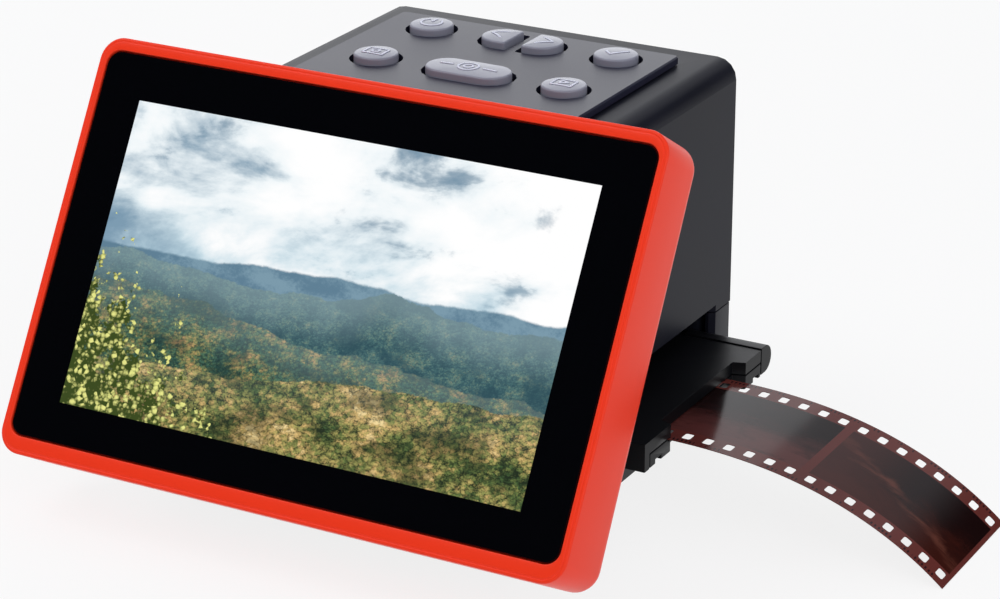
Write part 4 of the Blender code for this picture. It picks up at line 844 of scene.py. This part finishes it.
def makeLegends(look, keys):
    # Each mark laid on its key's crown, at the height that the crown has under each point.
    for node, strokes in legendStrokes(look["size"]).items():
        low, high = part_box(node)
        middle = (low + high) / 2
        places, faces, count = [], [], 0
        for points, closed in strokes:
            flat, quads = ribbon(points, look["width"], closed)
            places.append(flat)
            faces.append(quads + count)
            count += len(flat)
        flat = np.vstack(places)
        reachX, reachY = (high.x - low.x) / 2 - keys["flange"], keys["radius"] - keys["edge"]
        out = np.hypot(flat[:, 0] / reachX, flat[:, 1] / reachY)
        if node == "capture_key":
            beyond = np.clip(np.abs(flat[:, 0]) - keys["longHalf"] * np.abs(flat[:, 1]) / reachY, 0.0, None)
            out = np.maximum(np.abs(flat[:, 1]) / reachY, beyond / (keys["longHalf"] + reachY))
        height = crownHeight(keys, np.clip(out, 0.0, 1.0)) + look["lift"]
        solid = np.column_stack([flat[:, 0] + middle.x, flat[:, 1] + middle.y, height + high.z])
        piece = newPiece(node.split("_")[0] + "Mark", solid, np.vstack(faces), legendWhite)
        thick = piece.modifiers.new("thickness", "SOLIDIFY")
        thick.thickness = look["thick"]
        thick.offset = -1.0
        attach(piece, bodyOf[node])


makeLegends(legendLook, keyLook)
print("keys and marks")

# Film: a strip of perforated cells, carried onto a flat run and then a curl
filmLook = {
    "width": 35.0 * mm, "thick": 0.14 * mm, "pitch": 4.75 * mm, "frames": 4, "holesPerFrame": 8, "rows": 9,
    "holeLength": 1.98 * mm, "holeWidth": 2.8 * mm, "holeCorner": 0.5 * mm, "holeMargin": 2.0 * mm,
    "holeBand": 0.5 * mm, "curlAngle": 0.71, "curlLength": 70.0 * mm, "curlPower": 1.40, "outside": 69.8 * mm,
    "imageHeight": 24.0 * mm, "imageLength": 36.0 * mm, "imageBlur": (-0.05 * mm, 0.10 * mm),
    "markPlace": 0.95 * mm, "markReach": 0.45 * mm, "markPitch": 0.95 * mm, "markShare": 0.45,
}
filmTints = {
    "base": (0.110, 0.024, 0.020), "baseLight": (0.165, 0.040, 0.033), "mark": (0.030, 0.010, 0.012),
    "skyThin": (0.115, 0.033, 0.030), "skyDense": (0.010, 0.004, 0.004), "skyStreak": (0.050, 0.014, 0.012),
    "deep": (0.045, 0.009, 0.006), "deepest": (0.010, 0.003, 0.003), "beam": (0.165, 0.052, 0.034),
    "lead": (0.085, 0.026, 0.022),
}


def filmCell(look, cornerSteps=4):
    # One pitch of a perforated edge: the hole's rounded rim joined to a border that its neighbours share.
    reach = look["pitch"] / 2
    outer = look["holeMargin"] + look["holeWidth"] / 2
    inner = look["holeWidth"] / 2 + look["holeBand"]
    rim = roundedRing(look["holeLength"] / 2, look["holeWidth"] / 2, look["holeCorner"], 0.0, cornerSteps)
    flatX = look["holeLength"] / 2 - look["holeCorner"]
    flatY = look["holeWidth"] / 2 - look["holeCorner"]
    border = []
    for sideX, sideY in ((1, 1), (-1, 1), (-1, -1), (1, -1)):
        tall = outer if sideY > 0 else inner
        quarter = [(reach, flatY), (reach, (flatY + tall) / 2), (reach, tall)]
        quarter += [((reach + flatX) / 2, tall), (flatX, tall)]
        quarter = quarter if sideX * sideY > 0 else quarter[::-1]
        border += [(sideX * x, sideY * y) for x, y in quarter]
    points = np.vstack([rim, np.array(border)])
    return points, gridFaces(2, len(rim), False, True)


def filmMesh(look):
    # Flat strip: rows of perforated cells down both edges, and a grid between them on the same columns.
    cells = look["holesPerFrame"] * look["frames"]
    pitch = look["pitch"]
    cell, quads = filmCell(look)
    row = look["width"] / 2 - look["holeMargin"] - look["holeWidth"] / 2
    middles = (np.arange(cells) + 0.5) * pitch
    sides = []
    for side in (1.0, -1.0):
        x = cell[None, :, 0] * side + middles[:, None]  # a half turn, so both edges' faces look up
        y = np.broadcast_to((cell[None, :, 1] + row) * side, x.shape)
        sides.append(np.stack([x, y], axis=-1).reshape(-1, 2))
    count = len(cell)
    edgeFaces = (quads[None] + (np.arange(2 * cells) * count)[:, None, None]).reshape(-1, 4)
    flatX = look["holeLength"] / 2 - look["holeCorner"]
    steps = np.array([-pitch / 2, -(pitch / 2 + flatX) / 2, -flatX, flatX, (pitch / 2 + flatX) / 2])
    columns = np.append((middles[:, None] + steps[None, :]).ravel(), cells * pitch)
    reach = row - look["holeWidth"] / 2 - look["holeBand"]
    rows = np.linspace(-reach, reach, look["rows"])
    x, y = np.meshgrid(columns, rows, indexing="ij")
    start = sum(len(side) for side in sides)
    flat = np.vstack(sides + [np.column_stack([x.ravel(), y.ravel()])])
    faces = np.vstack([edgeFaces, gridFaces(len(columns), len(rows)) + start])
    return welded(flat, faces)


def filmCurve(look, along, steps=4001):
    # Place along the film to (x, z, slope): level, then a slope that grows as a power of the way outside.
    total = look["pitch"] * look["holesPerFrame"] * look["frames"]
    start = total - look["outside"]
    fine = np.linspace(0.0, total, steps)
    out = np.clip(fine - start, 0.0, None)
    slope = look["curlAngle"] * (out / look["curlLength"]) ** look["curlPower"]
    step = fine[1] - fine[0]
    middle = (slope[1:] + slope[:-1]) / 2
    x = np.concatenate([[0.0], np.cumsum(np.cos(middle)) * step])
    z = -np.concatenate([[0.0], np.cumsum(np.sin(middle)) * step])
    return np.interp(along, fine, x), np.interp(along, fine, z), np.interp(along, fine, slope)


def makeFilmFinish(look, tints):
    # Orange-brown base, denser frames with generic streaks, small edge marks; u and v in metres.
    finish = Finish("filmBase", Specular_IOR_Level=0.11)
    u, v = finish.uv("filmMap")
    mapped = finish.join(u, v)
    frameLength = look["pitch"] * look["holesPerFrame"]
    place = (u / frameLength).fract()
    number = (u / frameLength).floor()
    along = abs(place.centred()) * frameLength
    blur = look["imageBlur"]
    inFrame = (look["imageLength"] / 2 - along).step(*blur) * (look["imageHeight"] / 2 - abs(v)).step(*blur)
    base = finish.mix(finish.noise(mapped, 40.0, 2.0), tints["base"], tints["baseLight"])
    streak = finish.noise(finish.join(u * 60.0 + number * 7.0, v * 260.0), 1.0, 5.0, 0.6, 0.4)
    billow = finish.noise(finish.join(u * 110.0 + number * 3.0, v * 160.0), 1.0, 5.0, 0.6, 0.5)
    rise = (v * 95.0 + streak.centred() + billow.centred() * 0.9).step(-0.85, 0.35)
    tone = finish.mix(rise, tints["skyThin"], tints["skyDense"])
    tone = finish.mix(billow.step(0.50, 0.68) * (1.0 - rise * 0.7), tone, tints["skyStreak"])
    sink = (v * 70.0 + billow.centred() * 1.6).step(-0.8, 0.4)
    deep = finish.mix(sink, tints["deep"], tints["deepest"])
    beam = abs(v * 95.0 + place * 1.5 - 0.60 + billow.centred() * 1.2).step(0.0, 0.32, 0.65, 0.0)
    deep = finish.mix(beam * streak.step(0.36, 0.60), deep, tints["beam"])
    deep = finish.mix(place.step(0.05, 0.55, 0.55, 0.0), deep, tints["lead"])
    lastFrame = number > look["frames"] - 1.5
    picture = finish.mix(inFrame, base, finish.mix(lastFrame, tone, deep))
    edgeBand = abs(abs(v) - (look["width"] / 2 - look["markPlace"])) < look["markReach"]
    tick = (u / look["markPitch"]).fract() < look["markShare"]
    group = finish.noise(finish.join(u * 420.0, 0.5), 1.0, 1.0) > 0.50
    marks = edgeBand * tick * group
    finish.set("Base Color", finish.mix(marks, picture, tints["mark"]))
    finish.set("Roughness", 0.12 + streak.centred() * 0.06)
    return finish.material


def makeFilm(look):
    # The flat strip carried onto its level run and curl: each point goes to its length along the curve.
    flat, faces = filmMesh(look)
    low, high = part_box("film_strip")
    x, z, slope = filmCurve(look, flat[:, 0])
    level = high.z - look["thick"] / 2
    middle = np.column_stack([low.x + x, flat[:, 1] + (low.y + high.y) / 2, level + z])
    out = np.column_stack([np.sin(slope), 0 * slope, np.cos(slope)]) * look["thick"] / 2
    sides = bothSides(faces, len(flat))
    finish = makeFilmFinish(look, filmTints)
    film = newPiece("filmStrip", np.vstack([middle + out, middle - out]), sides, finish, 60.0)
    mapOnto(film, "filmMap", np.vstack([flat, flat]))
    return seat(film, "film_strip")


makeFilm(filmLook)
print("film")


def makeLensGlass():
    # Coated glass: blue that turns to violet over 2.5 mm of height.
    finish = Finish("lensGlass", Roughness=0.02)
    share = (finish.split(finish.place())[2] * 400.0).step(0.0, 1.0)
    finish.set("Base Color", finish.mix(share, (0.01, 0.01, 0.03), (0.03, 0.01, 0.04)))
    return finish.material


dressNode("lens_glass", makeLensGlass())
